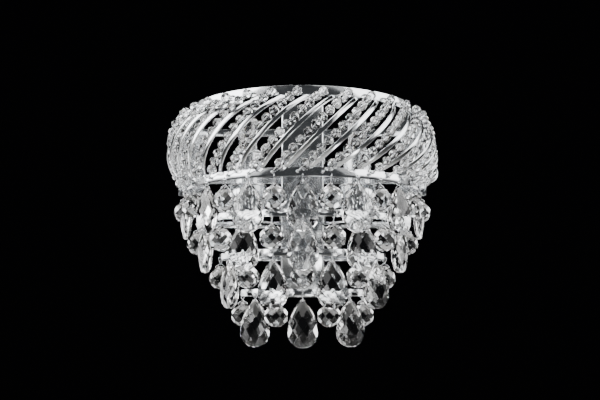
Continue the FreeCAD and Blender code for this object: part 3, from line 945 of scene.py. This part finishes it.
@dataclass
class RibSet(ChromeWork):
    """Chrome ribs, each a strip with rounded outer edges, bent to a plane arc between the rims."""

    swirl: Swirl
    node: str = "cage_ribs"
    width: float = 4.6 * MM
    thick: float = 1.2 * MM
    outer_edge: float = 0.95 * MM
    inner_edge: float = 0.12 * MM
    weld_radius: float = 129.25 * MM
    largest_radius: float = 150 * MM
    free_spare: float = 4 * MM
    wall_spare: float = 0.4 * MM
    segments: int = 150

    def build_rib(self, arc: SwirlArc, low_z: float, high_z: float) -> Piece:
        """Bend one rib and trim it to the rims' edges.

        Args:
            arc: The arc that its outer face follows.
            low_z: Height of the lower rim's upper edge.
            high_z: Height of the top rim's lower edge.

        Returns:
            The rib.
        """
        bpy.ops.mesh.primitive_cylinder_add(vertices=self.segments, radius=arc.radius,
                                            depth=self.width, end_fill_type="NOTHING",
                                            location=arc.centre, rotation=arc.turn())
        rib = started("rib")
        free_ends = not (self.swirl.at_wall(arc.foot) or self.swirl.at_wall(arc.head))
        spare = self.free_spare if free_ends else self.wall_spare
        with editing(rib):
            sliced(arc.foot - arc.away * spare, arc.away, clear_inner=True)
        apply_modifier(rib, "SOLIDIFY", thickness=self.thick, offset=-1.0)
        with editing(rib):
            for height, facing in ((low_z, -1), (high_z, 1)):
                sliced((0, 0, height), (0, 0, facing), use_fill=True, clear_outer=True)
        choose(rib, Pick.EDGES, lambda place, run: self.on_outer_edge(arc, place, run))
        with editing(rib, Pick.EDGES):
            bpy.ops.mesh.bevel(offset=self.outer_edge, segments=4, affect="EDGES")
        outward(rib)
        softened(rib, self.inner_edge, 1)
        return rib

    def on_outer_edge(self, arc: SwirlArc, place: Vector, run: Vector) -> bool:
        """Tell whether an edge runs along one of the outer face's long sides.

        Args:
            arc: The arc that the outer face follows.
            place: The edge's middle.
            run: The edge's direction.

        Returns:
            Whether it does.
        """
        spoke = place - arc.centre
        aside = spoke.dot(arc.axis)
        reach = (spoke - arc.axis * aside).length
        return (reach > arc.radius - self.thick / 2 and abs(aside) > 0.49 * self.width
                and abs(run.dot(spoke.normalized())) < 0.5 and abs(run.dot(arc.axis)) < ALONG)

    def build(self) -> Piece:
        """Bend every rib.

        Returns:
            All ribs as one piece.
        """
        low_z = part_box("lower_rim")[1].z
        high_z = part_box("top_rim")[0].z
        pairs = self.swirl.ends(self.swirl.phase + self.swirl.pitch / 2, (self.weld_radius, low_z),
                                (self.weld_radius, high_z))
        ribs = [self.build_rib(SwirlArc(foot, head, self.largest_radius), low_z, high_z)
                for foot, head in pairs]
        cage = joined(ribs, "swirl_ribs")
        outward(cage)
        smoothed(cage)
        return cage


@dataclass
class StrandSet:
    """Stiff wires over the rims' faces, threaded with faceted beads."""

    swirl: Swirl
    rim_radius: float = 130 * MM
    largest_radius: float = 144.5 * MM
    bead_radius: float = 5 * MM
    bead_gap: float = 0.1 * MM
    wire_radius: float = 0.45 * MM
    knob_radius: float = 1.6 * MM
    stand_off: float = 0.3 * MM
    top_drop: float = 7 * MM

    def arcs(self) -> list[SwirlArc]:
        """Find the arc of every strand.

        Returns:
            The arcs, from left to right.
        """
        low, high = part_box("lower_rim")
        foot = (self.rim_radius + self.knob_radius, (low.z + high.z) / 2)
        head = (self.rim_radius + self.bead_radius + self.stand_off,
                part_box("top_rim")[1].z - self.top_drop)
        return [SwirlArc(*pair, self.largest_radius)
                for pair in self.swirl.ends(self.swirl.phase, foot, head)]

    def has_room(self, point: Vector) -> bool:
        """Tell whether a bead at a point clears the rims, the flanges and the wall.

        Args:
            point: The bead's middle.

        Returns:
            Whether it does.
        """
        reach = self.bead_radius + 0.9 * self.stand_off
        past_rims = math.hypot(point.x, point.y) > self.rim_radius + reach
        past_flanges = (abs(point.x) > self.swirl.flange_x + reach
                        or point.y < -self.swirl.flange_depth - reach)
        return past_rims and past_flanges and point.y < -reach

    def bead_angles(self, arc: SwirlArc) -> list[float]:
        """Find where a strand's beads sit.

        Args:
            arc: The strand's arc.

        Returns:
            Angles along the arc from the head down.
        """
        step = (2 * self.bead_radius + self.bead_gap) / arc.radius
        angle = arc.half_angle
        while not self.has_room(arc.point(angle)):
            angle -= step / 20
        angles = []
        while angle > -arc.half_angle and self.has_room(arc.point(angle)):
            angles.append(angle)
            angle -= step
        return angles

    def build_bead(self) -> Piece:
        """Grind one bead, slim across the wire that runs through it along Z.

        Returns:
            The bead, with a belt and two slanting rows of eight facets.
        """
        bpy.ops.mesh.primitive_cube_add(size=2.2 * self.bead_radius)
        bead = started("bead")
        facets = facet_ring(8, 0.0, 0.5, 0.86 * self.bead_radius)
        for side in (-1, 1):
            facets += facet_ring(8, side * math.pi / 4, 0.0, 0.88 * self.bead_radius)
            facets.append((UP * side, 0.94 * self.bead_radius))
        ground_off(bead, facets)
        return bead

    def build(self) -> tuple[Piece, Piece]:
        """Thread every strand.

        Returns:
            All wires as one piece, and all beads as one piece.
        """
        bead = self.build_bead()
        wires = []
        beads = []
        for arc in self.arcs():
            wires += self.build_wire(arc)
            for angle in self.bead_angles(arc):
                away = arc.tangent(angle).cross(arc.axis)
                turn = Matrix((arc.axis, away, arc.tangent(angle))).transposed().to_4x4()
                beads.append(copied(bead, "bead", Matrix.Translation(arc.point(angle)) @ turn))
        discard(bead)
        wire = joined(wires, "strand_wire_set")
        smoothed(wire, WIRE_CREASE)
        return wire, joined(beads, "bead_set")

    def build_wire(self, arc: SwirlArc) -> list[Piece]:
        """Bend one strand's wire, with its knob and the leg that holds its head.

        Args:
            arc: The strand's arc.

        Returns:
            The pieces of the wire, not yet joined.
        """
        bpy.ops.mesh.primitive_torus_add(location=arc.centre, rotation=arc.turn(),
                                         major_radius=arc.radius, minor_radius=self.wire_radius,
                                         major_segments=110, minor_segments=8)
        pieces = [started("strand_wire")]
        with editing(pieces[0]):
            sliced(arc.foot, arc.away, use_fill=True, clear_inner=True)
        if not self.swirl.at_wall(arc.head):
            pieces.append(self.build_leg(arc.head))
        if not self.swirl.at_wall(arc.foot):
            bpy.ops.mesh.primitive_uv_sphere_add(segments=12, ring_count=8, radius=self.knob_radius,
                                                 location=arc.foot)
            pieces.append(started("strand_knob"))
        return pieces

    def build_leg(self, head: Vector) -> Piece:
        """Run a short wire from a strand's head to the rim's face.

        Args:
            head: The strand's upper end.

        Returns:
            The leg.
        """
        away = Vector((head.x, head.y, 0)).normalized()
        length = math.hypot(head.x, head.y) - self.rim_radius
        bpy.ops.mesh.primitive_cylinder_add(vertices=10, radius=self.wire_radius, depth=length,
                                            location=head - away * (length / 2),
                                            rotation=away.to_track_quat("Z", "Y").to_euler())
        return started("strand_leg")

    def dress(self, wire: Piece, beads: Piece) -> None:
        """Give the wires chrome and the beads crystal, each with its place."""
        finished(wire, CHROME, Slot.CHROME, "lamp_frame", "strand_wires")
        finished(beads, CRYSTAL, Slot.CRYSTAL, "lamp_frame", "beads")


# Pendants: cut stones on wire hooks


def facet_ring(count: int, lift: float, shift: float, distance: float) -> list[Facet]:
    """Find the facets of one row round a stone.

    Args:
        count: How many facets the row has.
        lift: How far their normals point above the level.
        shift: How much of a facet's width the row is turned by.
        distance: How far the facets lie from the stone's middle.

    Returns:
        The row's facets.
    """
    facets = []
    for index in range(count):
        turn = (index + shift) * 2 * math.pi / count
        level = math.cos(lift)
        normal = Vector((level * math.cos(turn), level * math.sin(turn), math.sin(lift)))
        facets.append((normal, distance))
    return facets


@dataclass
class PearDrop:
    """Flat pear drop with curved flanks and a lattice of lozenge facets on both faces."""

    height: float = 48.6 * MM
    belly: float = 15.2 * MM
    tip_half: float = 1.5 * MM
    thick: float = 12 * MM
    girdle: float = 1.4 * MM
    bezel_lean: float = math.radians(60)
    lozenge_width: float = 8.8 * MM
    lozenge_height: float = 12.8 * MM
    dome_sag: float = 0.72
    hole_below_pivot: float = 8.7 * MM
    hole_below_tip: float = 2.8 * MM

    @property
    def flank_offset(self) -> float:
        """How far a flank's arc has its centre past the stone's middle line."""
        tip_z = self.height - self.belly
        excess = tip_z ** 2 + self.tip_half ** 2 - self.belly ** 2
        return excess / (2 * (self.belly - self.tip_half))

    @property
    def flank_end(self) -> float:
        """Direction of a flank's normal where it meets the tip."""
        return math.acos((self.tip_half + self.flank_offset) / (self.belly + self.flank_offset))

    def support(self, turn: float) -> float:
        """Find the distance from the belly's centre to the outline's tangent.

        Args:
            turn: Direction of the tangent's normal.

        Returns:
            The distance.
        """
        sideways = abs(math.cos(turn))
        if math.sin(turn) <= 0:
            return self.belly
        if sideways > math.cos(self.flank_end):
            return self.belly + self.flank_offset * (1 - sideways)
        return (self.height - self.belly) * math.sin(turn) + self.tip_half * sideways

    def turns(self, below: int, flank: int) -> list[float]:
        """Spread facets evenly along the outline.

        Args:
            below: How many lie along the round lower half.
            flank: How many lie along each flank.

        Returns:
            Directions of their normals, the tip's last.
        """
        lower = [-math.pi * (index + 0.5) / below for index in range(below)]
        right = [self.flank_end * (index + 0.5) / flank for index in range(flank)]
        return lower + right + [math.pi - turn for turn in right] + [math.pi / 2]

    def facets(self) -> list[Facet]:
        """Find the stone's facets round the middle of its belly.

        Returns:
            The girdle's facets, then the bezels and lozenges of both faces.
        """
        found = []
        for turn in self.turns(15, 7):
            found.append((Vector((math.cos(turn), 0, math.sin(turn))), self.support(turn)))
        steep, flat = math.sin(self.bezel_lean), math.cos(self.bezel_lean)
        for side in (-1, 1):
            for turn in self.turns(8, 4):
                normal = Vector((steep * math.cos(turn), side * flat, steep * math.sin(turn)))
                found.append((normal, self.support(turn) * steep + self.girdle / 2 * flat))
            for across in range(-3, 4):
                for up in range(-3, 4):
                    if (across + up) % 2 == 0:
                        found.append(self.lozenge(across, up, side))
        return found

    def lozenge(self, across: int, up: int, side: int) -> Facet:
        """Find one lozenge facet, which touches a low dome over the face.

        Args:
            across: Its column in the lattice.
            up: Its row in the lattice.
            side: Which face it is on, -1 for the front.

        Returns:
            The facet.
        """
        middle_z = self.height / 2 - self.belly
        rise = self.thick / 2
        x = across * self.lozenge_width / 2
        z = up * self.lozenge_height / 2
        slope_x = 2 * rise * self.dome_sag * x / self.belly ** 2
        slope_z = 2 * rise * self.dome_sag * z / (self.height / 2) ** 2
        depth = rise - (slope_x * x + slope_z * z) / 2
        normal = Vector((slope_x, side, slope_z)).normalized()
        return normal, normal.dot(Vector((x, side * depth, middle_z + z)))

    def build(self) -> Piece:
        """Grind the drop and drill its tip.

        Returns:
            The drop, hanging from a hook at the origin.
        """
        bpy.ops.mesh.primitive_cube_add(size=4 * self.height)
        stone = started("pear_drop")
        ground_off(stone, self.facets())
        return drilled(stone, self.height - self.belly - self.hole_below_tip, self.hole_below_pivot)


@dataclass
class FacetBall:
    """Faceted ball with a pointed top like a low roof."""

    radius: float = 11.4 * MM
    top: float = 14.5 * MM
    hole_below_pivot: float = 10.6 * MM
    hole_below_tip: float = 2.7 * MM
    count: int = 8

    def facets(self) -> list[Facet]:
        """Find the stone's facets round its middle.

        Returns:
            The rows from the bottom up, then the roof and the ends.
        """
        found = []
        for lift, shift in ((-70, 0.0), (-47, 0.5), (-23, 0.0), (0, 0.5), (22, 0.0), (45, 0.5)):
            found += facet_ring(self.count, math.radians(lift), shift, self.radius)
        found.append((-UP, 0.985 * self.radius))
        found.append((UP, self.top))
        return found

    def build(self) -> Piece:
        """Grind the ball and drill its tip.

        Returns:
            The ball, hanging from a hook at the origin.
        """
        bpy.ops.mesh.primitive_cube_add(size=4 * self.radius)
        stone = started("facet_ball")
        ground_off(stone, self.facets())
        return drilled(stone, self.top - self.hole_below_tip, self.hole_below_pivot)


def drilled(stone: Piece, hole_z: float, below: float) -> Piece:
    """Drill a stone from face to face and hang it from the origin.

    Args:
        stone: The stone round its own middle.
        hole_z: The hole's height over the stone's middle.
        below: How far under the hook's top wire the hole hangs.

    Returns:
        The same stone.
    """
    outward(stone)
    bpy.ops.mesh.primitive_cylinder_add(vertices=12, radius=STONE_HOLE_RADIUS, depth=60 * MM,
                                        location=(0, 0, hole_z), rotation=(math.pi / 2, 0, 0))
    cut(stone, [started("drill")])
    stone.data.transform(Matrix.Translation((0, 0, -below - hole_z)))
    return stone


@dataclass
class Hook:
    """Bow of round wire: a loop through the ring's hole, crossed over, and one through the stone's.

    The lower loop's arms stand upright over a length that keeps them clear of the stone's tip.
    """

    drop: float
    bottom_half: float
    upright: float
    top_half: float = 2.4 * MM
    wire: float = 0.4 * MM
    straight: float = 2.9 * MM
    offset: float = 0.42 * MM
    taper: float = 0.3 * MM
    loop_bend: float = 0.9 * MM
    arm_bend: float = 0.7 * MM

    def build(self, twist: float = 0.0) -> Piece:
        """Bend the hook in the plane X = 0, with its top wire's middle at the origin.

        Args:
            twist: How far its lower loop is turned about the vertical.

        Returns:
            The hook.
        """
        shoulder = self.upright - self.drop
        waist = (shoulder - self.straight) / 2
        foot_x, foot_y = -self.bottom_half * math.sin(twist), self.bottom_half * math.cos(twist)
        half = [(0, self.top_half, 0), (0, self.top_half - self.taper, -self.straight),
                (self.offset, 0, waist), (-foot_x, -foot_y, shoulder), (-foot_x, -foot_y, -self.drop)]
        points = [Vector(corner) for corner in half]
        points += [Vector((-x, -y, z)) for x, y, z in reversed(half)]
        line = trace("hook", points, closed=True)
        rounded_corners(line, [points[index] for index in (0, 4, 5, 9)], self.loop_bend, 4)
        rounded_corners(line, [points[index] for index in (1, 3, 6, 8)], self.arm_bend, 2)
        return wire_from(line, self.wire)


class Cut(Enum):
    """The two stones that hang in turn round every ring."""

    DROP = "drop"
    BALL = "ball"


@dataclass
class PendantSet:
    """All pendants, each a stone and its hook on the body of its own hinge.

    A few drops hang turned towards the viewer, on a twisted hook, as in the photograph.
    """

    drop: PearDrop
    ball: FacetBall
    drop_hook: Hook
    ball_hook: Hook
    sway: float = math.radians(3)
    turned: tuple[tuple[str, float], ...] = (
        ("tier_1_drop_06", 14), ("tier_1_drop_10", -14), ("tier_1_drop_12", -12),
        ("tier_2_drop_04", 20), ("tier_2_drop_08", -22), ("tier_2_drop_10", -6),
        ("tier_3_drop_02", 6), ("tier_3_drop_04", 10), ("tier_3_drop_06", -14), ("tier_3_drop_08", -34),
        ("tier_4_drop_02", 42), ("tier_4_drop_06", -30))

    def build(self) -> int:
        """Hang a copy of the right stone and its hook from every hinge.

        Returns:
            How many pendants there are.
        """
        stones = {Cut.DROP: self.drop.build(), Cut.BALL: self.ball.build()}
        hooks = {Cut.DROP: self.drop_hook, Cut.BALL: self.ball_hook}
        twists = {node: math.radians(degrees) for node, degrees in self.turned}
        hinges = [joint for joint in frame["joints"] if joint["type"] == "hinge"]
        bodies = frame["record"]["behaviour"]["bodies"]
        for number, hinge in enumerate(hinges):
            node = bodies[hinge["child"]][0]
            kind = Cut.DROP if Cut.DROP.value in node else Cut.BALL
            twist = twists.get(node, self.sway * math.sin(2.4 * number))
            pivot = Vector(hinge["pos_m"])
            place = Matrix.Translation(pivot) @ Matrix.Rotation(math.atan2(pivot.x, -pivot.y), 4, "Z")
            stone = copied(stones[kind], node + "_stone", place @ Matrix.Rotation(twist, 4, "Z"))
            hook = hooks[kind].build(twist)
            hook.name = hook.data.name = node + "_hook"
            hook.data.transform(place)
            self.dress(stone, hook, hinge["child"], node)
        for pattern in stones.values():
            discard(pattern)
        return len(hinges)

    def dress(self, stone: Piece, hook: Piece, body: str, node: str) -> None:
        """Give a stone its crystal and a hook its chrome, each with its place."""
        finished(stone, CRYSTAL, Slot.CRYSTAL, body, node)
        finished(hook, CHROME, Slot.CHROME, body)


# Back frame and column


@dataclass
class BackFrame(ChromeWork):
    """Two uprights with flanges, and the crossbars that run to the column."""

    node: str = "back_frame"
    sheet: float = 1.5 * MM
    flange: float = 1.2 * MM
    width: float = 27.5 * MM
    edge: float = 0.25 * MM
    bars: tuple[tuple[float, float], ...] = ((30 * MM, 38 * MM), (-24 * MM, -16 * MM))

    def build(self) -> Piece:
        """Make the right half and mirror it.

        Returns:
            Both halves as one piece.
        """
        low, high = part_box("back_frame")
        column_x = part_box("centre_column")[1].x
        inner_x = high.x - self.width
        flange_x = high.x - self.flange
        half = box_between("upright", Vector((inner_x, -self.sheet, low.z)),
                           Vector((high.x, 0, high.z)))
        with editing(half):
            for height in [z for bar in self.bars for z in bar]:
                sliced((0, 0, height), UP)
            sliced((flange_x, 0, 0), (1, 0, 0))
        choose(half, Pick.FACES, lambda place, normal: normal.x < -ALONG and self.in_bar(place.z))
        self.pull(half, (column_x - inner_x, 0, 0))
        choose(half, Pick.FACES, lambda place, normal: normal.y < -ALONG and place.x > flange_x)
        self.pull(half, (0, low.y + self.sheet, 0))
        outward(half)
        softened(half, self.edge)
        smoothed(half)
        return paired(half, "back_frame_pair", MIRROR)

    def in_bar(self, z: float) -> bool:
        """Tell whether a height lies within a crossbar."""
        return any(low < z < high for low, high in self.bars)

    def pull(self, piece: Piece, run: Place) -> None:
        """Extrude the chosen faces of a piece along a straight run."""
        with editing(piece, Pick.FACES):
            extruded(run)


@dataclass
class Column(ChromeWork):
    """Tray of bright sheet that stands against the wall, open at the back."""

    node: str = "centre_column"
    wall: float = 1.2 * MM
    fold: float = 2 * MM
    edge: float = 0.25 * MM
    screw_y: float = -12 * MM
    screw_hole: float = 2.2 * MM
    lead_y: float = -13 * MM
    lead_z: float = -66 * MM
    lead_hole: float = 3.5 * MM

    def build(self) -> Piece:
        """Fold the tray and drill its sides.

        Returns:
            The tray.
        """
        low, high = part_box("centre_column")
        tray = box_between("column_tray", low, high)
        choose(tray, Pick.EDGES, lambda place, run: abs(run.z) > ALONG and place.y < low.y + MM)
        with editing(tray, Pick.EDGES):
            bpy.ops.mesh.bevel(offset=self.fold, segments=6, affect="EDGES")
        choose(tray, Pick.FACES, lambda _, normal: normal.y > ALONG)
        with editing(tray, Pick.FACES):
            bpy.ops.mesh.delete(type="FACE")
        apply_modifier(tray, "SOLIDIFY", thickness=self.wall, offset=-1.0, use_even_offset=True)
        softened(tray, self.edge)
        drills = []
        for name, y, z, radius in (("screw_drill", self.screw_y, 0.0, self.screw_hole),
                                   ("lead_drill", self.lead_y, self.lead_z, self.lead_hole)):
            bpy.ops.mesh.primitive_cylinder_add(vertices=32, radius=radius, depth=100 * MM,
                                                location=(0, y, z), rotation=(0, math.pi / 2, 0))
            drills.append(started(name))
        cut(tray, drills)
        smoothed(tray)
        return tray


@dataclass
class SideScrews(ChromeWork):
    """Slotted screws with domed heads in the column's sides."""

    node: str = "side_screws"
    y: float = -12 * MM
    shank: float = 2 * MM
    shank_length: float = 6.2 * MM
    head: float = 3.6 * MM
    head_height: float = 2.2 * MM
    slot_width: float = 0.9 * MM
    slot_depth: float = 1.0 * MM
    slot_turn: float = 0.6

    def build(self) -> Piece:
        """Turn the right screw, cut its slot and mirror it.

        Returns:
            Both screws as one piece.
        """
        face_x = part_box("centre_column")[1].x
        tip_z, top_z = -self.shank_length, self.head_height
        outline = [(0, tip_z), (0.8 * self.shank, tip_z), (self.shank, tip_z + 0.6 * MM),
                   (self.shank, 0), (self.head, 0), (self.head, 0.45 * top_z),
                   (0.9 * self.head, 0.75 * top_z), (0.65 * self.head, 0.94 * top_z), (0, top_z)]
        screw = turned_on_lathe("side_screw", outline, Vector((0, 0, 0)), 32)
        half = self.slot_width / 2
        cut(screw, [box_between("slot", Vector((-half, -self.head * 1.2, top_z - self.slot_depth)),
                                Vector((half, self.head * 1.2, top_z + MM)))])
        place = Matrix.Translation((face_x, self.y, 0)) @ Matrix.Rotation(math.pi / 2, 4, "Y")
        screw.data.transform(place @ Matrix.Rotation(self.slot_turn, 4, "Z"))
        smoothed(screw)
        return paired(screw, "side_screw_pair", MIRROR)


# Lamps


@dataclass
class LampPair:
    """Two cups with lampholders and push-in tube lamps."""

    x: float = 57 * MM
    y: float = -60 * MM
    cup_radius: float = 18.5 * MM
    cup_bottom: float = -71 * MM
    cup_top: float = -37 * MM
    sheet: float = 1.2 * MM
    foot_radius: float = 14 * MM
    foot_rise: float = 4 * MM
    flange_radius: float = 20 * MM
    flange: float = 1.5 * MM
    sleeve_radius: float = 14.5 * MM
    sleeve_top: float = 0.0
    lip: float = 1.0 * MM
    lip_height: float = 2.5 * MM
    socket_radius: float = 11.2 * MM
    socket_depth: float = 10 * MM
    tube_radius: float = 10 * MM
    tube_wall: float = 1 * MM
    tube_base: float = -2 * MM
    tube_top: float = 38 * MM
    shoulder: float = 4 * MM
    base_low: float = -9.7 * MM
    pin_spacing: float = 9 * MM
    pin_radius: float = 0.8 * MM
    pin_length: float = 7 * MM
    pin_room: float = 1 * MM
    crease: float = 35.0

    @property
    def axis(self) -> Vector:
        """A point of the right lamp's axis."""
        return Vector((self.x, self.y, 0))

    @property
    def to_left(self) -> Matrix:
        """The move from the right lamp to the left one."""
        return Matrix.Translation((-2 * self.x, 0, 0))

    def both(self, piece: Piece, name: str) -> Piece:
        """Shade a piece of the right lamp and join it with its copy at the left."""
        smoothed(piece, self.crease)
        return paired(piece, name, self.to_left)

    def build_cups(self) -> Piece:
        """Turn the cups, with a rolled edge and a stepped foot.

        Returns:
            Both cups as one piece.
        """
        foot_z = self.cup_bottom + self.foot_rise
        inner = self.cup_radius - self.sheet
        foot, outer, low, top = self.foot_radius, self.cup_radius, self.cup_bottom, self.cup_top
        outline = [(0, low), (foot - 0.5 * MM, low), (foot, low + 0.5 * MM),
                   (foot + MM, foot_z - 1.4 * MM), (outer - 1.3 * MM, foot_z - 0.5 * MM),
                   (outer - 0.3 * MM, foot_z + 0.4 * MM), (outer, foot_z + 1.5 * MM),
                   (outer, top - 0.4 * MM), (outer - 0.6 * MM, top), (inner, top - 0.4 * MM),
                   (inner, foot_z + MM), (inner - MM, foot_z), (0, foot_z)]
        return self.both(turned_on_lathe("cup_right", outline, self.axis, 72), "lamp_cup_pair")

    def build_sleeves(self) -> Piece:
        """Turn the lampholders' bright sleeves, with flange and lip.

        Returns:
            Both sleeves as one piece.
        """
        low, top, outer, rim = self.cup_top, self.sleeve_top, self.sleeve_radius, self.flange_radius
        flange_z = low + self.flange
        lip_z = top - self.lip_height
        wide = outer + self.lip
        floor_z = top - self.socket_depth
        bore = self.socket_radius + MM
        outline = [(0, low), (rim - 0.3 * MM, low), (rim, low + 0.4 * MM), (rim, flange_z - 0.4 * MM),
                   (rim - 0.4 * MM, flange_z), (outer + 0.6 * MM, flange_z),
                   (outer, flange_z + 0.6 * MM), (outer, lip_z - 0.4 * MM), (wide - 0.3 * MM, lip_z),
                   (wide, lip_z + 0.5 * MM), (wide, top - 0.5 * MM), (wide - 0.5 * MM, top),
                   (bore, top), (bore, floor_z), (0, floor_z)]
        sleeve = turned_on_lathe("sleeve_right", outline, self.axis, 64)
        cut(sleeve, self.pin_drills())
        return self.both(sleeve, "lampholder_sleeve_pair")

    def build_sockets(self) -> Piece:
        """Turn the ceramic liners of the sleeves and sink their pin holes.

        Returns:
            Both liners as one piece.
        """
        bore, top = self.socket_radius, self.sleeve_top - 0.4 * MM
        low = self.sleeve_top - self.socket_depth + 0.02 * MM
        outer = bore + 0.9 * MM
        floor_z = low + 0.22 * MM
        outline = [(0, low), (outer, low), (outer, top - 0.3 * MM), (outer - 0.3 * MM, top),
                   (bore + 0.2 * MM, top), (bore, top - 0.2 * MM), (bore, floor_z), (0, floor_z)]
        liner = turned_on_lathe("liner_right", outline, self.axis, 56)
        cut(liner, self.pin_drills())
        return self.both(liner, "lampholder_liner_pair")

    def pin_drills(self) -> list[Piece]:
        """Make the drills for a holder's two pin holes.

        Returns:
            One drill for each pin of the right lamp.
        """
        drills = []
        depth = self.pin_length + self.pin_room
        for side in (-1, 1):
            middle_z = self.base_low - depth / 2 + MM
            middle = self.axis + Vector((side * self.pin_spacing / 2, 0, middle_z))
            bpy.ops.mesh.primitive_cylinder_add(vertices=20, radius=self.pin_radius + 0.2 * MM,
                                                depth=depth + 2 * MM, location=middle)
            drills.append(started("pin_drill"))
        return drills

    def build_base(self) -> Piece:
        """Turn a lamp's ceramic base and add its two pins.

        Returns:
            The right lamp's base.
        """
        low, top = self.base_low, self.tube_base
        radius = self.tube_radius
        outline = [(0, low), (radius - 1.2 * MM, low), (radius - 0.4 * MM, low + 0.8 * MM),
                   (radius - 0.4 * MM, top - 1.2 * MM), (radius, top - 0.9 * MM), (radius, top),
                   (0, top)]
        pieces = [turned_on_lathe("base_right", outline, self.axis, 48)]
        tip_z, root_z, pin_radius = low - self.pin_length, low + 0.5 * MM, self.pin_radius
        pin = [(0, tip_z), (0.6 * pin_radius, tip_z), (pin_radius, tip_z + 0.6 * MM),
               (pin_radius, root_z), (0, root_z)]
        for side in (-1, 1):
            middle = self.axis + Vector((side * self.pin_spacing / 2, 0, 0))
            pieces.append(turned_on_lathe("pin", pin, middle, 12))
        base = joined(pieces, "lamp_right_base")
        smoothed(base, self.crease)
        return base

    def build_tube(self) -> Piece:
        """Turn a lamp's glass tube, closed and hollow.

        Returns:
            The right lamp's tube.
        """
        outer, low, top = self.tube_radius, self.tube_base, self.tube_top
        inner, roof_z = outer - self.tube_wall, top - self.tube_wall
        slope_z, flat = top - self.shoulder, outer - self.shoulder
        outline = [(inner, low), (outer, low), (outer, slope_z - MM),
                   (outer - 0.5 * MM, slope_z + 0.4 * MM), (flat + 0.4 * MM, top - 0.3 * MM),
                   (flat - 0.6 * MM, top), (0, top), (0, roof_z), (flat - 1.2 * MM, roof_z),
                   (inner - 0.3 * MM, slope_z - 0.2 * MM), (inner, slope_z - 1.6 * MM), (inner, low)]
        tube = turned_on_lathe("lamp_right_tube", outline, self.axis, 64)
        smoothed(tube, self.crease)
        return tube

    def build_filament(self) -> Piece:
        """Bend the filament and the wires that hold it up inside the tube.

        Returns:
            The right lamp's filament.
        """
        low = self.tube_base - 0.5 * MM
        steps = [(-3.5, 0), (-3.5, 24), (-2.3, 30), (-1.2, 12), (0, 30), (1.2, 12), (2.3, 30),
                 (3.5, 24), (3.5, 0)]
        points = [self.axis + Vector((x * MM, 0, low + z * MM)) for x, z in steps]
        return wire_from(trace("lamp_right_filament", points), 0.25 * MM, 1)

    def build(self) -> None:
        """Build both lamps and dress them."""
        body = "lamp_frame"
        finished(self.build_cups(), CHROME, Slot.CHROME, body, "lamp_cups")
        finished(self.build_sleeves(), CHROME, Slot.CHROME, body, "lampholders")
        finished(self.build_sockets(), CERAMIC, Slot.TERMINAL_PLASTIC, body)
        for piece, finish in ((self.build_base(), CERAMIC), (self.build_filament(), BRASS)):
            slot = Slot.TERMINAL_PLASTIC if finish is CERAMIC else Slot.CHROME
            twin = copied(piece, piece.name.replace("right", "left"), self.to_left)
            finished(twin, finish, slot, "lamp_left")
            finished(piece, finish, slot, "lamp_right")
        tube = self.build_tube()
        twin = copied(tube, "lamp_left_tube", self.to_left)
        finished(twin, TUBE_GLASS, Slot.BULB_GLASS, "lamp_left", "bulb_left")
        finished(tube, TUBE_GLASS, Slot.BULB_GLASS, "lamp_right", "bulb_right")


class CarriedOver(Enum):
    """CAD nodes whose shape is right as it is, each with its finish."""

    ARMS = ("lamp_arms", CHROME)
    BRACKET = ("wall_bracket", ZINC)
    TERMINALS = ("terminal_block", PLASTIC)

    def dress(self) -> None:
        """Put the finish on the node's own material slots."""
        node, finish = self.value
        for place in frame["nodes"][node].material_slots:
            place.material = finish.material()
        log.info("%s: kept from the CAD model", node)


def main() -> None:
    """Build the studio and the sconce, piece by piece."""
    logging.basicConfig(level=logging.INFO, format="%(name)s: %(message)s")
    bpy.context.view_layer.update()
    studio = Studio()
    studio.add_camera()
    studio.add_lights()
    studio.add_surroundings()
    swirl = Swirl()
    column_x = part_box("centre_column")[1].x
    angles = {ring: [] for ring in ("lower_rim", "tier_ring_2", "tier_ring_3", "tier_ring_4")}
    for joint in frame["joints"]:
        if joint["type"] == "hinge":
            pivot = Vector(joint["pos_m"])
            ring = list(angles)[int(joint["name"].split("_")[1]) - 1]
            angles[ring].append(math.atan2(pivot.x, -pivot.y))
    for node, thick, end_x in (("top_rim", 1.5 * MM, 116 * MM), ("lower_rim", 1.5 * MM, 116 * MM),
                               ("tier_ring_2", 1.2 * MM, column_x), ("tier_ring_3", 1.2 * MM, column_x),
                               ("tier_ring_4", 1.2 * MM, column_x)):
        hoop = Hoop(node, thick, end_x, angles.get(node, []))
        hoop.dress(hoop.build())
    for maker in (RibSet(swirl), BackFrame(), Column(), SideScrews()):
        maker.dress(maker.build())
    strands = StrandSet(swirl)
    strands.dress(*strands.build())
    drop, ball = PearDrop(), FacetBall()
    pendants = PendantSet(drop, ball, Hook(drop.hole_below_pivot, 3.5 * MM, 3.2 * MM),
                           Hook(ball.hole_below_pivot, 5.2 * MM, 1.2 * MM))
    log.info("pendants: %d", pendants.build())
    LampPair().build()
    for node in CarriedOver:
        node.dress()


if __name__ == "__main__":
    main()
